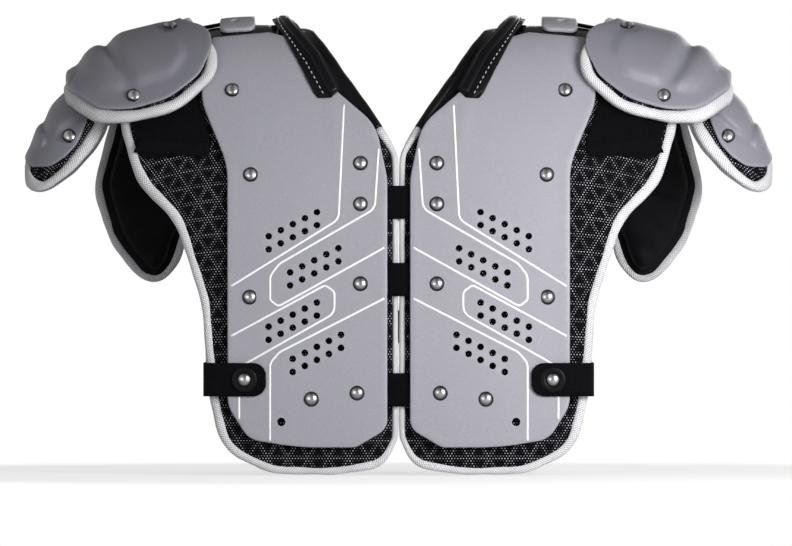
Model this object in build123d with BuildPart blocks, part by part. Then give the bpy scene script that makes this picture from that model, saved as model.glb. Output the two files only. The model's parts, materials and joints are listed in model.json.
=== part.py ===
"""Padded shoulder guard: two hard-shelled halves tied together, with lifting shoulder caps.

The guard stands on its four padded lower edges. Z is up, the chest faces -Y, and the
wearer's left is +X. The left half is modelled once and mirrored to make the right half.
Every curved layer follows one arch that runs from the chest, over the shoulder, to the back.
"""
from build123d import *
from math import cos, radians, sin
import os

os.makedirs("parts", exist_ok=True)

# ---- the arch that every layer follows ----
arch_height = 341.0        # floor to the top of the arch beside the neck
arch_half_depth = 118.0    # centre plane to the chest face, at the breastbone
arch_power = 2.6           # 2 is an ellipse, more is squarer in the shoulder
over_ridge = arch_height + 59.0      # an outline that reaches this high goes over the ridge
cap_over_ridge = arch_height + 79.0  # the same for the shoulder cap's outlines
chest_rounding = 15.0      # how much shallower the arch is at the reference width
reference_width = 210.0    # distance from the breastbone where that rounding is measured
slope_start = 110.0        # the shoulder starts to slope down here
slope_drop = 0.0028        # drop of the ridge per square of the distance past slope_start

# ---- thicknesses and clearances ----
fit_gap = 0.4              # between neighbouring layers
plate_thick = 2.5
under_thick = 2.0          # straps and bridge between the plate and the liner
liner_thick = 10.0
cushion_thick = 12.0
trim_thick = 1.6
pad_lift = 0.6             # shoulder cap pad above the arch
cap_pad_thick = 9.0
cap_shell_thick = 2.6
webbing_thick = 2.0

# ---- plates ----
plate_inner = 8.5          # half the space between the left and right plates
plate_outer = 127.5
plate_bottom = 21.0
plate_top = 330.0

# ---- soft liner ----
liner_centre = 0.4         # half the space between the two liners
liner_outer = 142.0
liner_arm = 209.0          # front liner's reach towards the arm
wing_reach = 232.5         # back liner's reach behind the arm
wing_bottom = 143.0
binding_width = 7.0
cushion_inset = 14.0

neck_zone_width = 88.0     # the neck lining takes over from the binding inside this width
neck_zone_height = 262.0   # and above this height

# ---- shoulder cap (epaulet) and arm cup ----
cap_inner = 140.0
cap_outer = 251.0
cap_front_drop = 274.0     # height of the cap's lowest front edge
rim_width = 8.5            # pad showing around the cap's shell
cup_inner = 232.0
cup_outer = 281.0
cup_half_depth = 56.0
cup_top = 290.0
cup_base = 196.0
cup_drop = 0.0231          # drop of the cup's top line per square of the distance
cup_slope_start = 235.0
cup_front_drop = 233.0
cup_pad_thick = 8.0

hinge_strap_widths = (137.5, 186.0)
hinge_strap_half = 18.0
cup_strap_widths = (225.0, 245.5)
cup_strap_half = 12.0
cup_strap_thick = 2.0
cap_rivets = ((198.0, 284.0), (172.0, 337.0))
cup_rivets = ((247.0, 254.0),)

# ---- tab over the bridge ----
tab_widths = (108.0, 134.5)
tab_half_depth = 36.0
tab_rise = 1.0
tab_hole_width = 123.0
tab_hole_depth = 18.0
tab_hole_radius = 3.75

# ---- fasteners, straps and vents ----
seat_gap = 0.06            # a fastener's seat above the curved face it stands on
rivet_radius = 4.9
rivet_height = 2.6
washer_radius = 9.4
washer_thick = 1.2
strap_width = 25.0
tie_reach = 38.0           # half the length of each tie between the halves
front_tie_heights = (64.0, 146.5, 204.5)
back_tie_heights = (110.0, 204.0)
side_strap_height = 71.5
side_strap_front = 99.0    # the strap's inner end on the chest plate
strap_axis_width = 146.5   # upright line that the strap swings about
strap_axis_inset = 2.2     # how far that line lies under the chest face
strap_tab_gap = 1.6        # between the tab on the plate and that line
strap_corner = 9.0
stud_width = 90.0          # rear stud's distance from the spine
stud_base_radius = 6.5
stud_neck_radius = 3.0
stud_head_radius = 5.5
stud_head_start = 7.0      # underside of the stud's head above the plate
stud_play = 0.5
hook_end = 106.0           # where the webbing meets the hook
hook_lip = 7.0             # hook beyond the stud's centre
hook_width = 20.0
hook_thick = 1.5
vent_radius = 2.45
vent_columns = 5
vent_rows = 2
vent_step = (9.0, -4.5)    # outward and down, from hole to hole
vent_row_step = 9.75
vent_starts = ((61.0, 196.5), (45.0, 169.5), (61.0, 129.0), (43.0, 105.0))
lace_hole_radius = 3.2
lace_hole_place = (87.5, 40.0)

side_planes = (0.0, 45.0, 90.0, 130.0, 170.0, 210.0, 255.0)
arch_steps = 12
wall_depth = 2 * arch_half_depth


def ridge(width):
    """Height of the arch's top line at a distance from the breastbone."""
    return arch_height - slope_drop * max(0.0, width - slope_start) ** 2


def half_depth(width):
    """Half of the arch's front-to-back depth at a distance from the breastbone."""
    return arch_half_depth - chest_rounding * (width / reference_width) ** 2


def cup_ridge(width):
    """Height of the arm cup's top line."""
    return cup_top - cup_drop * max(0.0, width - cup_slope_start) ** 2


def cup_depth(width):
    """Half of the cup's depth, narrowing towards its tip."""
    return cup_half_depth * (1 - 0.3 * ((width - cup_inner) / (cup_outer - cup_inner)) ** 2)


# a form is (height of its top line, its half depth, height of its foot)
body_form = (ridge, half_depth, 0.0)
cup_form = (cup_ridge, cup_depth, cup_base)


def arch_point(width, turn, inward, form=body_form):
    """Point (y, z) on the arch: turn is 0 at the chest's foot and 180 at the back's foot."""
    base = form[2]
    height, depth = form[0](width) - base, form[1](width)
    c, s = cos(radians(turn)), abs(sin(radians(turn)))
    y = -depth * abs(c) ** (2 / arch_power) * (1 if c > 0 else -1)
    z = height * s ** (2 / arch_power)
    normal_y = abs(y / depth) ** (arch_power - 1) / depth * (1 if y > 0 else -1)
    normal_z = (z / height) ** (arch_power - 1) / height
    length = (normal_y ** 2 + normal_z ** 2) ** 0.5
    return y - inward * normal_y / length, base + z - inward * normal_z / length


def arch_layer(outer, inner, widths=side_planes, form=body_form):
    """Closed shell between two depths under the arch's surface."""
    turns = [180.0 * step / arch_steps for step in range(arch_steps + 1)]
    with BuildPart() as layer:
        for width in widths:
            with BuildSketch(Plane.YZ.offset(width)):
                with BuildLine():
                    top = Spline(*[arch_point(width, t, outer, form) for t in turns])
                    under = Spline(*[arch_point(width, t, inner, form) for t in turns])
                    Line(top @ 0, under @ 0)
                    Line(top @ 1, under @ 1)
                make_face()
        loft()
    return layer.part


def outline_wall(corners, front=True, back=False, inset=0.0):
    """Wall cut straight through the guard, with corners given as (width, height, radius)."""
    with BuildPart() as wall:
        with BuildSketch(Plane.XZ):
            with BuildLine():
                FilletPolyline(*[(c[0], c[1]) for c in corners],
                               radius=[c[2] for c in corners], close=True)
            make_face()
            if inset:
                offset(amount=-inset, kind=Kind.INTERSECTION)
        if front and back:
            extrude(amount=wall_depth, both=True)
        else:
            extrude(amount=wall_depth if front else -wall_depth)
    return wall.part


def half_wall(corners, front, inset=0.0):
    """The same wall on one side of the ridge only, kept off the ridge by half a gap."""
    with BuildPart() as wall:
        add(outline_wall(corners, front=front, back=not front, inset=inset))
        side = -1 if front else 1
        with Locations((0, side * (wall_depth + fit_gap / 2), 0)):
            Box(4 * wall_depth, 2 * wall_depth, 4 * arch_height, mode=Mode.INTERSECT)
    return wall.part


def surface_plane(width, height, inward, front=True, form=body_form):
    """Plane that lies on the arch at a width and height, facing outward."""
    low, high = 0.0, 90.0
    for _ in range(40):
        middle = (low + high) / 2
        if arch_point(width, middle, inward, form)[1] < height:
            low = middle
        else:
            high = middle
    side = 1 if front else -1
    step = 0.5
    here = Vector(width, *arch_point(width, low, inward, form))
    along = Vector(width, *arch_point(width, low + step, inward, form)) - here
    across = Vector(width + step, *arch_point(width + step, low, inward, form)) - here
    normal = along.cross(across)
    if normal.Z < 0 or (abs(normal.Z) < 1e-9 and normal.Y > 0):
        normal = normal * -1
    here, across, normal = [Vector(v.X, side * v.Y, v.Z) for v in (here, across, normal)]
    return Plane(origin=here, x_dir=across, z_dir=normal)


# ---- depths of each layer under the arch's surface ----
under_top = plate_thick + fit_gap
liner_top = under_top + under_thick + fit_gap
cushion_top = liner_top + liner_thick + fit_gap
cap_pad_bottom = -pad_lift
cap_pad_top = cap_pad_bottom - cap_pad_thick
cap_shell_bottom = cap_pad_top - fit_gap
cap_shell_top = cap_shell_bottom - cap_shell_thick

# ---- outlines seen from the front: (distance from the breastbone, height, corner radius) ----
plate_outline = [
    (plate_inner, plate_bottom + 14, 12), (32, plate_bottom, 10), (75, plate_bottom, 200),
    (112, plate_bottom + 6, 18), (plate_outer, 52, 22), (plate_outer + 0.5, 232, 60),
    (149, 283, 40), (140, plate_top - 2, 2), (97, plate_top + 2, 3), (76, plate_top - 4, 3),
    (46, 287, 30), (17, 262, 36), (plate_inner, 222, 60),
]
liner_foot = [
    (liner_centre, 28, 8), (10, 6, 18), (50, 0, 60), (95, 1, 40), (132, 18, 34),
    (liner_outer, 62, 60),
]
liner_neck = [
    (liner_arm, over_ridge, 2), (79, over_ridge, 2), (74, 340, 30), (54, 318, 30), (16, 266, 30),
    (liner_centre, 240, 20),
]
front_liner_outline = liner_foot + [
    (147, 128, 60), (167, 190, 45), (196, 218, 50), (liner_arm, 262, 30),
] + liner_neck
back_liner_outline = liner_foot + [
    (146, 140, 40), (152, wing_bottom + 40, 4), (161, wing_bottom + 40, 4),
    (166, wing_bottom + 17, 30), (180, wing_bottom, 14), (197, wing_bottom + 2, 22),
    (220, 174, 40), (wing_reach, 215, 30), (218, 268, 30),
] + liner_neck
panel_outline = [
    (152, over_ridge, 2), (152, 286, 20), (140, 250, 4), (150, 240, 6), (192, 236, 8),
    (200, 262, 20), (200, over_ridge, 2),
]
bridge_outline = [(91, 305, 3), (91, over_ridge, 2), (147, over_ridge, 2), (147, 305, 3)]
trim_outline = [
    (43.5, 288.5, 2), (51, 282, 2), (61.5, 282, 2), (73.5, 306, 40), (88, 333, 30),
    (97, 343, 20), (97, over_ridge, 2), (82, over_ridge, 2), (82, 345, 8), (61, 320, 30),
]
cap_outline = [
    (cap_inner, 322, 10), (149, 300, 14), (172, 282, 40), (200, cap_front_drop, 40),
    (226, cap_front_drop, 22), (cap_outer, 291, 6), (cap_outer, 304, 8), (246, cap_over_ridge, 2),
    (168, cap_over_ridge, 2), (164, 344, 20),
]
cap_pad_outline = [
    (cap_inner - 6, 318, 14), (138, 299, 16), (165, 274, 40), (200, cap_front_drop - 8.5, 40),
    (228, cap_front_drop - 8.5, 24), (cap_outer + 1.5, 286, 8), (cap_outer + 1.5, 300, 6),
    (250, cap_over_ridge, 2), (164, cap_over_ridge, 2), (160, 344, 20),
]
cup_outline = [
    (cup_inner, 276, 6), (238, 252, 12), (253, 236, 14), (cup_outer - 4, cup_front_drop - 1, 5),
    (cup_outer + 3, 244, 8), (cup_outer + 3, over_ridge, 2), (cup_inner, over_ridge, 2),
]
cup_pad_outline = [
    (cup_inner - 10, 272, 8), (226, 250, 16), (246, 224, 20), (268, 214, 12),
    (cup_outer + 2, 218, 6), (cup_outer + 2, over_ridge, 2), (cup_inner - 10, over_ridge, 2),
]

pieces = {}


def finish(name, solid):
    """Keep a left-hand piece and its mirror image, the right-hand piece."""
    pieces["left_" + name] = solid
    pieces["right_" + name] = mirror(solid, about=Plane.YZ)


# ---- shared curved layers ----
plate_layer = arch_layer(0.0, plate_thick, widths=side_planes[:5])
under_layer = arch_layer(under_top, under_top + under_thick, widths=side_planes)
liner_layer = arch_layer(liner_top, liner_top + liner_thick)
cushion_layer = arch_layer(cushion_top, cushion_top + cushion_thick)
trim_layer = arch_layer(-fit_gap - trim_thick, -fit_gap, widths=side_planes[:4])
webbing_layer = arch_layer(-fit_gap - webbing_thick, -fit_gap, widths=side_planes[:5])

# ---- rivets: places on the chest plate and on the back plate ----
front_rivets = ((124.5, 288), (110.5, 224.5), (28.5, 233), (28.5, 202.5), (111, 133),
                (28.5, 143), (31, 61.5), (65, 57))
back_rivets = ((124.5, 288), (110.5, 224.5), (28.5, back_tie_heights[1]),
               (28.5, back_tie_heights[0]), (111, 133), (65, 57))
strap_rivet = (115.0, side_strap_height)
shank_radius = 2.1
rivet_hole_radius = shank_radius + 0.1
drill_reach = 6.0          # a rivet hole is cut this far to each side of its plane


def rivet_places():
    """Planes on the plates' outer face for every small rivet of the left half."""
    fronts = [surface_plane(w, h, 0.0) for w, h in front_rivets]
    backs = [surface_plane(w, h, 0.0, front=False) for w, h in back_rivets]
    return fronts + backs


def vent_places():
    """Centres of the vents in the chest plate."""
    places = []
    for start_width, start_height in vent_starts:
        for column in range(vent_columns):
            for row in range(vent_rows):
                places.append((start_width + column * vent_step[0],
                               start_height + column * vent_step[1] - row * vent_row_step))
    return places


def drill(solid, planes):
    """Rivet holes through a sheet."""
    with BuildPart() as sheet:
        add(solid)
        for plane in planes:
            with BuildSketch(plane):
                Circle(rivet_hole_radius)
            extrude(amount=drill_reach, both=True, mode=Mode.SUBTRACT)
    return sheet.part


def make_plate(front):
    """Hard plate with rivet holes, and with vents and a lacing hole on the chest side."""
    with BuildPart() as plate:
        add(plate_layer)
        add(half_wall(plate_outline, front), mode=Mode.INTERSECT)
        if front:
            with BuildSketch(Plane.XZ):
                with Locations(*vent_places()):
                    Circle(vent_radius)
                with Locations(lace_hole_place):
                    Circle(lace_hole_radius)
            extrude(amount=wall_depth, mode=Mode.SUBTRACT)
    return drill(plate.part, rivet_places())


finish("front_plate", make_plate(True))
finish("back_plate", make_plate(False))


def cut_layer(layer, wall):
    """The stretch of a curved layer that lies inside a wall."""
    with BuildPart() as piece:
        add(layer)
        add(wall, mode=Mode.INTERSECT)
    return piece.part


def cut_away(solid, *others):
    """A solid less the ones that fill part of it."""
    with BuildPart() as piece:
        add(solid)
        for other in others:
            add(other, mode=Mode.SUBTRACT)
    return piece.part


def plan_wall(width_from, width_to, depth_from, depth_to, corner=2.0):
    """Upright block with rounded corners, for pieces outlined from above."""
    with BuildPart() as wall:
        with BuildSketch():
            with Locations(((width_from + width_to) / 2, (depth_from + depth_to) / 2)):
                RectangleRounded(width_to - width_from, depth_to - depth_from, corner)
        extrude(amount=2 * arch_height)
    return wall.part


def level_block(width_from, width_to, height, thick, depth_side):
    """Block on one side of the ridge, for straps that run level round the body."""
    with BuildPart() as block:
        with BuildSketch(Plane.XZ):
            with Locations(((width_from + width_to) / 2, height)):
                RectangleRounded(width_to - width_from, thick, 3.0)
        extrude(amount=-depth_side * wall_depth)
    return block.part


# ---- arch bridge over the shoulder, its tab and the collar trim ----
finish("shoulder_bridge", cut_layer(under_layer, outline_wall(bridge_outline, back=True)))
tab_layer = arch_layer(-tab_rise, under_top - fit_gap, widths=side_planes[:5])
with BuildPart() as tab:
    add(tab_layer)
    add(plan_wall(*tab_widths, -tab_half_depth, tab_half_depth, 5.0), mode=Mode.INTERSECT)
    with BuildSketch():
        with Locations((tab_hole_width, -tab_hole_depth), (tab_hole_width, tab_hole_depth)):
            Circle(tab_hole_radius)
    extrude(amount=2 * arch_height, mode=Mode.SUBTRACT)
finish("bridge_tab", tab.part)
finish("collar_trim", cut_layer(trim_layer, outline_wall(trim_outline, back=True)))

# ---- soft liner: mesh-faced pad, edge binding, neck lining and the cushion inside ----
neck_linings = []
for half, outline, front in (("front", front_liner_outline, True),
                             ("back", back_liner_outline, False)):
    whole = cut_layer(liner_layer, half_wall(outline, front))
    liner = cut_layer(liner_layer, half_wall(outline, front, inset=binding_width))
    rim = cut_away(whole, liner)
    with BuildPart() as neck_zone:
        with Locations((neck_zone_width / 2, 0, neck_zone_height + arch_height / 2)):
            Box(neck_zone_width, 4 * arch_half_depth, arch_height)
    neck_linings.append(cut_layer(rim, neck_zone.part))
    finish(half + "_liner", liner)
    finish(half + "_binding", cut_away(rim, neck_zone.part))
    finish(half + "_cushion", cut_layer(cushion_layer, half_wall(outline, front, cushion_inset)))
with BuildPart() as lining:
    add(neck_linings)
finish("neck_lining", lining.part)
finish("shoulder_panel", cut_layer(under_layer, outline_wall(panel_outline, back=True)))

# ---- shoulder cap: shell over a bound pad, hung on webbing beside the neck ----
cap_planes = (126.0, 165.0, 210.0, 256.0)
shell = cut_layer(arch_layer(cap_shell_top, cap_shell_bottom, cap_planes),
                  outline_wall(cap_outline, back=True))
cap_pad_layer = arch_layer(cap_pad_top, cap_pad_bottom, cap_planes)
pad_whole = cut_layer(cap_pad_layer, outline_wall(cap_pad_outline, back=True))
pad_middle = cut_layer(cap_pad_layer, outline_wall(cap_pad_outline, back=True, inset=rim_width))
finish("epaulet_pad", pad_middle)
finish("epaulet_binding", cut_away(pad_whole, pad_middle))
cap_rivet_planes = [surface_plane(w, h, cap_shell_top, front=side)
                    for w, h in cap_rivets for side in (True, False)]
finish("epaulet_hinge_strap",
       cut_layer(arch_layer(cap_pad_bottom + fit_gap, under_top - fit_gap, cap_planes),
                 plan_wall(*hinge_strap_widths, -hinge_strap_half, hinge_strap_half)))

# ---- arm cup: a smaller shell and pad, hung under the cap's outer edge ----
cup_planes = (cup_inner - 14, cup_inner, cup_inner + 20, cup_inner + 36, cup_outer + 4)
cup_shell = cut_layer(arch_layer(0.0, cap_shell_thick, cup_planes, cup_form),
                      outline_wall(cup_outline, back=True))
cup_pad_layer = arch_layer(cap_shell_thick + fit_gap, cap_shell_thick + fit_gap + cup_pad_thick,
                           cup_planes, cup_form)
cup_pad_whole = cut_layer(cup_pad_layer, outline_wall(cup_pad_outline, back=True))
cup_pad_middle = cut_layer(cup_pad_layer,
                           outline_wall(cup_pad_outline, back=True, inset=rim_width))
finish("cup_pad", cup_pad_middle)
finish("cup_binding", cut_away(cup_pad_whole, cup_pad_middle))
cup_rivet_planes = [surface_plane(w, h, 0.0, front=side, form=cup_form)
                    for w, h in cup_rivets for side in (True, False)]
finish("cup_hinge_strap",
       cut_layer(arch_layer(-fit_gap - cup_strap_thick, -fit_gap, cup_planes, cup_form),
                 plan_wall(*cup_strap_widths, -cup_strap_half, cup_strap_half)))


# ---- rivets: domed head and a shank through the sheet it holds ----
def make_rivet(shank_length):
    """One rivet, standing on the XY plane with its shank below."""
    with BuildPart() as rivet:
        with BuildSketch(Plane.XZ):
            with BuildLine():
                top = ThreePointArc((0, seat_gap + rivet_height),
                                    (rivet_radius * 0.62, seat_gap + rivet_height * 0.72),
                                    (rivet_radius, seat_gap))
                Polyline(top @ 1, (shank_radius, seat_gap), (shank_radius, -shank_length),
                         (0, -shank_length), top @ 0)
            make_face()
        revolve(axis=Axis.Z)
    return rivet.part


def place_all(solid, planes):
    """Copies of one solid on each plane, kept as separate solids."""
    with BuildPart() as group:
        with Locations(*planes):
            add(solid)
    return group.part


finish("epaulet_shell", drill(shell, cap_rivet_planes))
finish("epaulet_rivets", place_all(make_rivet(cap_shell_thick), cap_rivet_planes))
finish("cup_shell", drill(cup_shell, cup_rivet_planes))
finish("cup_rivets", place_all(make_rivet(cap_shell_thick), cup_rivet_planes))

# ---- side strap: a tab on the chest plate, a strap round to the back and its hook ----
strap_layer_top = -fit_gap - webbing_thick
finish("side_strap_tab",
       cut_layer(webbing_layer, level_block(side_strap_front, strap_axis_width - strap_tab_gap,
                                            side_strap_height, strap_width, -1)))
strap_axis_depth = -(half_depth(strap_axis_width) - strap_axis_inset)
back_face = half_depth(hook_end) + fit_gap + webbing_thick / 2
with BuildPart() as strap:
    with BuildSketch(Plane.XY.offset(side_strap_height - strap_width / 2)):
        with BuildLine() as strap_route:
            FilletPolyline((strap_axis_width, strap_axis_depth),
                           (strap_axis_width, back_face), (hook_end, back_face),
                           radius=strap_corner)
        trace(line_width=webbing_thick)
    extrude(amount=strap_width)
finish("side_strap", strap.part)

hook_face = half_depth(stud_width) + fit_gap
with BuildPart() as hook:
    with BuildSketch(Plane.XZ.offset(-hook_face)):
        with Locations(((stud_width - hook_lip + hook_end) / 2, side_strap_height)):
            RectangleRounded(hook_end - stud_width + hook_lip, hook_width, 3.0)
        with Locations((stud_width - hook_lip / 2, side_strap_height)):
            Rectangle(hook_lip, 2 * (stud_neck_radius + stud_play), mode=Mode.SUBTRACT)
        with Locations((stud_width, side_strap_height)):
            Circle(stud_neck_radius + stud_play, mode=Mode.SUBTRACT)
    extrude(amount=-hook_thick)
finish("side_hook", hook.part)

with BuildPart() as stud:
    with BuildSketch(Plane.XZ):
        with BuildLine():
            Polyline((0, seat_gap), (stud_base_radius, seat_gap),
                     (stud_base_radius, seat_gap + 0.3), (stud_neck_radius, seat_gap + 0.3),
                     (stud_neck_radius, stud_head_start), (stud_head_radius, stud_head_start),
                     (stud_head_radius, stud_head_start + 1.2),
                     (0, stud_head_start + 2.4), (0, seat_gap))
        make_face()
    revolve(axis=Axis.Z)
stud_plane = surface_plane(stud_width, side_strap_height, 0.0, front=False)
stud_solid = place_all(stud.part, [stud_plane])

# ---- ties between the halves, drilled where the plates' rivets pass through ----
front_planes = [surface_plane(w, h, 0.0) for w, h in front_rivets]
back_planes = [surface_plane(w, h, 0.0, front=False) for w, h in back_rivets]
both_sides = {}
for names, heights, side, planes in (
        (("lower_front_tie", "middle_front_tie", "upper_front_tie"), front_tie_heights, -1,
         front_planes),
        (("lower_back_tie", "upper_back_tie"), back_tie_heights, 1, back_planes)):
    for name, height in zip(names, heights):
        half_tie = drill(cut_layer(under_layer, level_block(-tie_reach, tie_reach, height,
                                                            strap_width, side)), planes)
        with BuildPart() as tie:
            add(half_tie)
            mirror(about=Plane.YZ)
        both_sides[name] = tie.part

# ---- fasteners that share a node ----
through_all = plate_thick + fit_gap + under_thick
half_rivets = place_all(make_rivet(through_all), rivet_places())
with BuildPart() as plate_rivets:
    add(half_rivets)
    add(mirror(half_rivets, about=Plane.YZ, mode=Mode.PRIVATE))
both_sides["plate_rivets"] = plate_rivets.part

strap_plane = surface_plane(*strap_rivet, strap_layer_top)
with BuildPart() as washer:
    with BuildSketch(Plane.XY.offset(seat_gap)):
        Circle(washer_radius)
        Circle(rivet_radius * 0.6, mode=Mode.SUBTRACT)
    extrude(amount=washer_thick)
strap_rivet_solids = [place_all(washer.part, [strap_plane]),
                      place_all(make_rivet(0.0), [strap_plane.offset(seat_gap + washer_thick)])]
with BuildPart() as strap_rivets:
    for solid in strap_rivet_solids:
        add(solid)
        add(mirror(solid, about=Plane.YZ, mode=Mode.PRIVATE))
both_sides["strap_rivets"] = strap_rivets.part
with BuildPart() as hook_studs:
    add(stud_solid)
    add(mirror(stud_solid, about=Plane.YZ, mode=Mode.PRIVATE))
both_sides["hook_studs"] = hook_studs.part

for name, solid in {**pieces, **both_sides}.items():
    solid.label = name
    export_step(solid, "parts/" + name + ".step")
print(len(pieces) + len(both_sides), "pieces")
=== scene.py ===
# %% [markdown]
# # Padded shoulder guard
# Two hard-shelled halves are tied together at the breastbone and the spine. Every layer, from
# the hard plate to the cushion next to the body, follows one arch from the chest over the
# shoulder to the back. The scene is built the same way: one formula gives that arch, and each
# piece is an outline laid on it and given a thickness.

# %% Load the frame
import json
from math import cos, pi, sin, tan

import bpy
import numpy as np
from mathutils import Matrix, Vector
from mathutils.geometry import delaunay_2d_cdt

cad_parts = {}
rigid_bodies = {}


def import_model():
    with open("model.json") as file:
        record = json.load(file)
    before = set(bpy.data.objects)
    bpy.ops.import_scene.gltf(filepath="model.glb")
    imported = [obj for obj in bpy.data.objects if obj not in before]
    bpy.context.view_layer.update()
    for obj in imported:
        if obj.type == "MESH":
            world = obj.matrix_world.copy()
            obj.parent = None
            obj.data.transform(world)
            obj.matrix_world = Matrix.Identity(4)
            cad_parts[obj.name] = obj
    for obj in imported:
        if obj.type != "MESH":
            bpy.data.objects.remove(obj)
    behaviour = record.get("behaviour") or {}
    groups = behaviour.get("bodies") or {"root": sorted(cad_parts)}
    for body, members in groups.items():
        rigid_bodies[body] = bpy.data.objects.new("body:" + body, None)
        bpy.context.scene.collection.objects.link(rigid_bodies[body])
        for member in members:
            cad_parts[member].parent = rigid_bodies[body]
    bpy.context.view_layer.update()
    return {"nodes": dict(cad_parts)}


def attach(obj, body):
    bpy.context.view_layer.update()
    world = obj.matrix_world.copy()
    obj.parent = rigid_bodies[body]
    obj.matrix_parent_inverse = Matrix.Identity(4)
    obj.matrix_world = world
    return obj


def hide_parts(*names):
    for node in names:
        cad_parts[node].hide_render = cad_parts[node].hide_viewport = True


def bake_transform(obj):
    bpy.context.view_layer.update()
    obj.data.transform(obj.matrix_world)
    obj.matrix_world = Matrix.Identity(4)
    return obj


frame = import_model()
MM = 0.001

# %% [markdown]
# ## The arch
# A superellipse is the simplest curve that is flat on the chest, round over the shoulder and
# flat again on the back. Its height falls away towards the arm. Sizes here are millimetres,
# as a pattern maker would write them, and become metres only when a mesh is made.

# %% Arch formula
ARCH_HEIGHT, ARCH_DEPTH, ARCH_POWER = 341.0, 118.0, 2.6
CHEST_ROUNDING, REFERENCE_WIDTH = 15.0, 210.0
SLOPE_START, SLOPE_DROP = 110.0, 0.0028
CUP_TOP, CUP_DROP, CUP_SLOPE_START, CUP_BASE = 290.0, 0.0231, 235.0, 196.0
CUP_DEPTH, CUP_INNER, CUP_OUTER, CUP_NARROWING = 56.0, 232.0, 281.0, 0.3


def body_form(width):
    """Top line, half depth and foot of the body's arch at a distance from the breastbone."""
    width = np.asarray(width, float)
    top = ARCH_HEIGHT - SLOPE_DROP * np.maximum(0, width - SLOPE_START) ** 2
    return top, ARCH_DEPTH - CHEST_ROUNDING * (width / REFERENCE_WIDTH) ** 2, 0.0


def cup_form(width):
    """The same three for the arm cup, which is shorter and narrows towards its tip."""
    width = np.asarray(width, float)
    top = CUP_TOP - CUP_DROP * np.maximum(0, width - CUP_SLOPE_START) ** 2
    share = (width - CUP_INNER) / (CUP_OUTER - CUP_INNER)
    return top, CUP_DEPTH * (1 - CUP_NARROWING * share ** 2), CUP_BASE


def arch(width, turn, out=0.0, form=body_form):
    """Points on the arch, with turn 0 at the chest's foot and 180 at the back's foot."""
    top, depth, base = form(width)
    height = top - base
    c, s = np.cos(np.radians(turn)), np.abs(np.sin(np.radians(turn)))
    y = -depth * np.abs(c) ** (2 / ARCH_POWER) * np.sign(c)
    z = height * s ** (2 / ARCH_POWER)
    ny = np.abs(y / depth) ** (ARCH_POWER - 1) / depth * np.sign(y)
    nz = np.maximum(z / height, 0) ** (ARCH_POWER - 1) / height
    length = np.sqrt(ny ** 2 + nz ** 2)
    return np.stack([np.broadcast_to(width, y.shape) + 0.0 * y,
                     y + out * ny / length, base + z + out * nz / length], -1)


TURNS = np.linspace(0, 180, 721)
MEASURED_AT = {body_form: 100.0, cup_form: 250.0}
HALVINGS = 30


def run_table(form):
    """Length along the arch at each turn, so that a pattern isn't stretched."""
    points = arch(np.full(TURNS.shape, MEASURED_AT[form]), TURNS, 0, form)
    steps = np.linalg.norm(np.diff(points, axis=0), axis=1)
    return np.concatenate([[0], np.cumsum(steps)])


RUNS = {form: run_table(form) for form in MEASURED_AT}


def turn_at(run, form):
    return np.interp(run, RUNS[form], TURNS)


def run_at_height(width, height, out, form):
    """Length along the front of the arch at which a layer reaches a height."""
    low, high = np.zeros(len(width)), np.full(len(width), 90.0)
    for _ in range(HALVINGS):
        middle = (low + high) / 2
        below = arch(width, middle, out, form)[:, 2] < height
        low, high = np.where(below, middle, low), np.where(below, high, middle)
    return np.interp(low, TURNS, RUNS[form]), low > 89.99


print("arch length over the shoulder:", round(RUNS[body_form][-1]), "mm")

# %% [markdown]
# ## Outlines
# A pattern is a list of corners, each with its own rounding, as a cutter marks it on card.
# `rounded` turns each corner into an arc, and `even` walks along the result in equal steps, so
# that the triangles made from it later are all about the same size.

# %% Rounded lines
def rounded(corners, step=3.0, closed=True):
    """Evenly spaced points round a polygon whose corners are (across, up, radius)."""
    count = len(corners)
    points = []
    for i, (x, y, radius) in enumerate(corners):
        here = np.array([x, y])
        if not closed and i in (0, count - 1):
            points.append(here)
            continue
        to_last = np.array(corners[i - 1][:2]) - here
        to_next = np.array(corners[(i + 1) % count][:2]) - here
        a, b = to_last / np.linalg.norm(to_last), to_next / np.linalg.norm(to_next)
        half = np.arccos(np.clip(a @ b, -1, 1)) / 2
        if radius <= 0 or abs(half - pi / 2) < 1e-4:
            points.append(here)
            continue
        reach = min(radius / tan(half), 0.49 * np.linalg.norm(to_last),
                    0.49 * np.linalg.norm(to_next))
        radius = reach * tan(half)
        middle = here + (a + b) / np.linalg.norm(a + b) * radius / sin(half)
        start, end = here + a * reach - middle, here + b * reach - middle
        sweep = pi - 2 * half
        bends = max(3, int(radius * sweep / step) + 1)
        for k in range(bends + 1):
            share = k / bends
            mixed = (sin((1 - share) * sweep) * start + sin(share * sweep) * end) / sin(sweep)
            points.append(middle + mixed)
    if closed:
        points.append(points[0])
    return even(np.array(points), step)


def even(points, step):
    """The same line with its points about one step apart, keeping its corners."""
    out = [points[0]]
    for a, b in zip(points[:-1], points[1:]):
        steps = max(1, round(np.linalg.norm(b - a) / step))
        for k in range(1, steps + 1):
            out.append(a + (b - a) * k / steps)
    out = np.array(out)
    keep = np.r_[True, np.linalg.norm(np.diff(out, axis=0), axis=1) > 0.25 * step]
    return out[keep]


square = rounded([(0, 0, 10), (100, 0, 10), (100, 100, 10), (0, 100, 10)])[:-1]
print("points round a 100 mm square:", len(square))

# %% [markdown]
# ## On to the arch
# An outline is drawn as seen from the front, in widths and heights. `lay_out` carries it on to
# the unrolled arch, on the chest side, the back side, or over the ridge and down both. Working
# on the unrolled arch keeps a pattern's lengths true where the arch curves.

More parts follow.
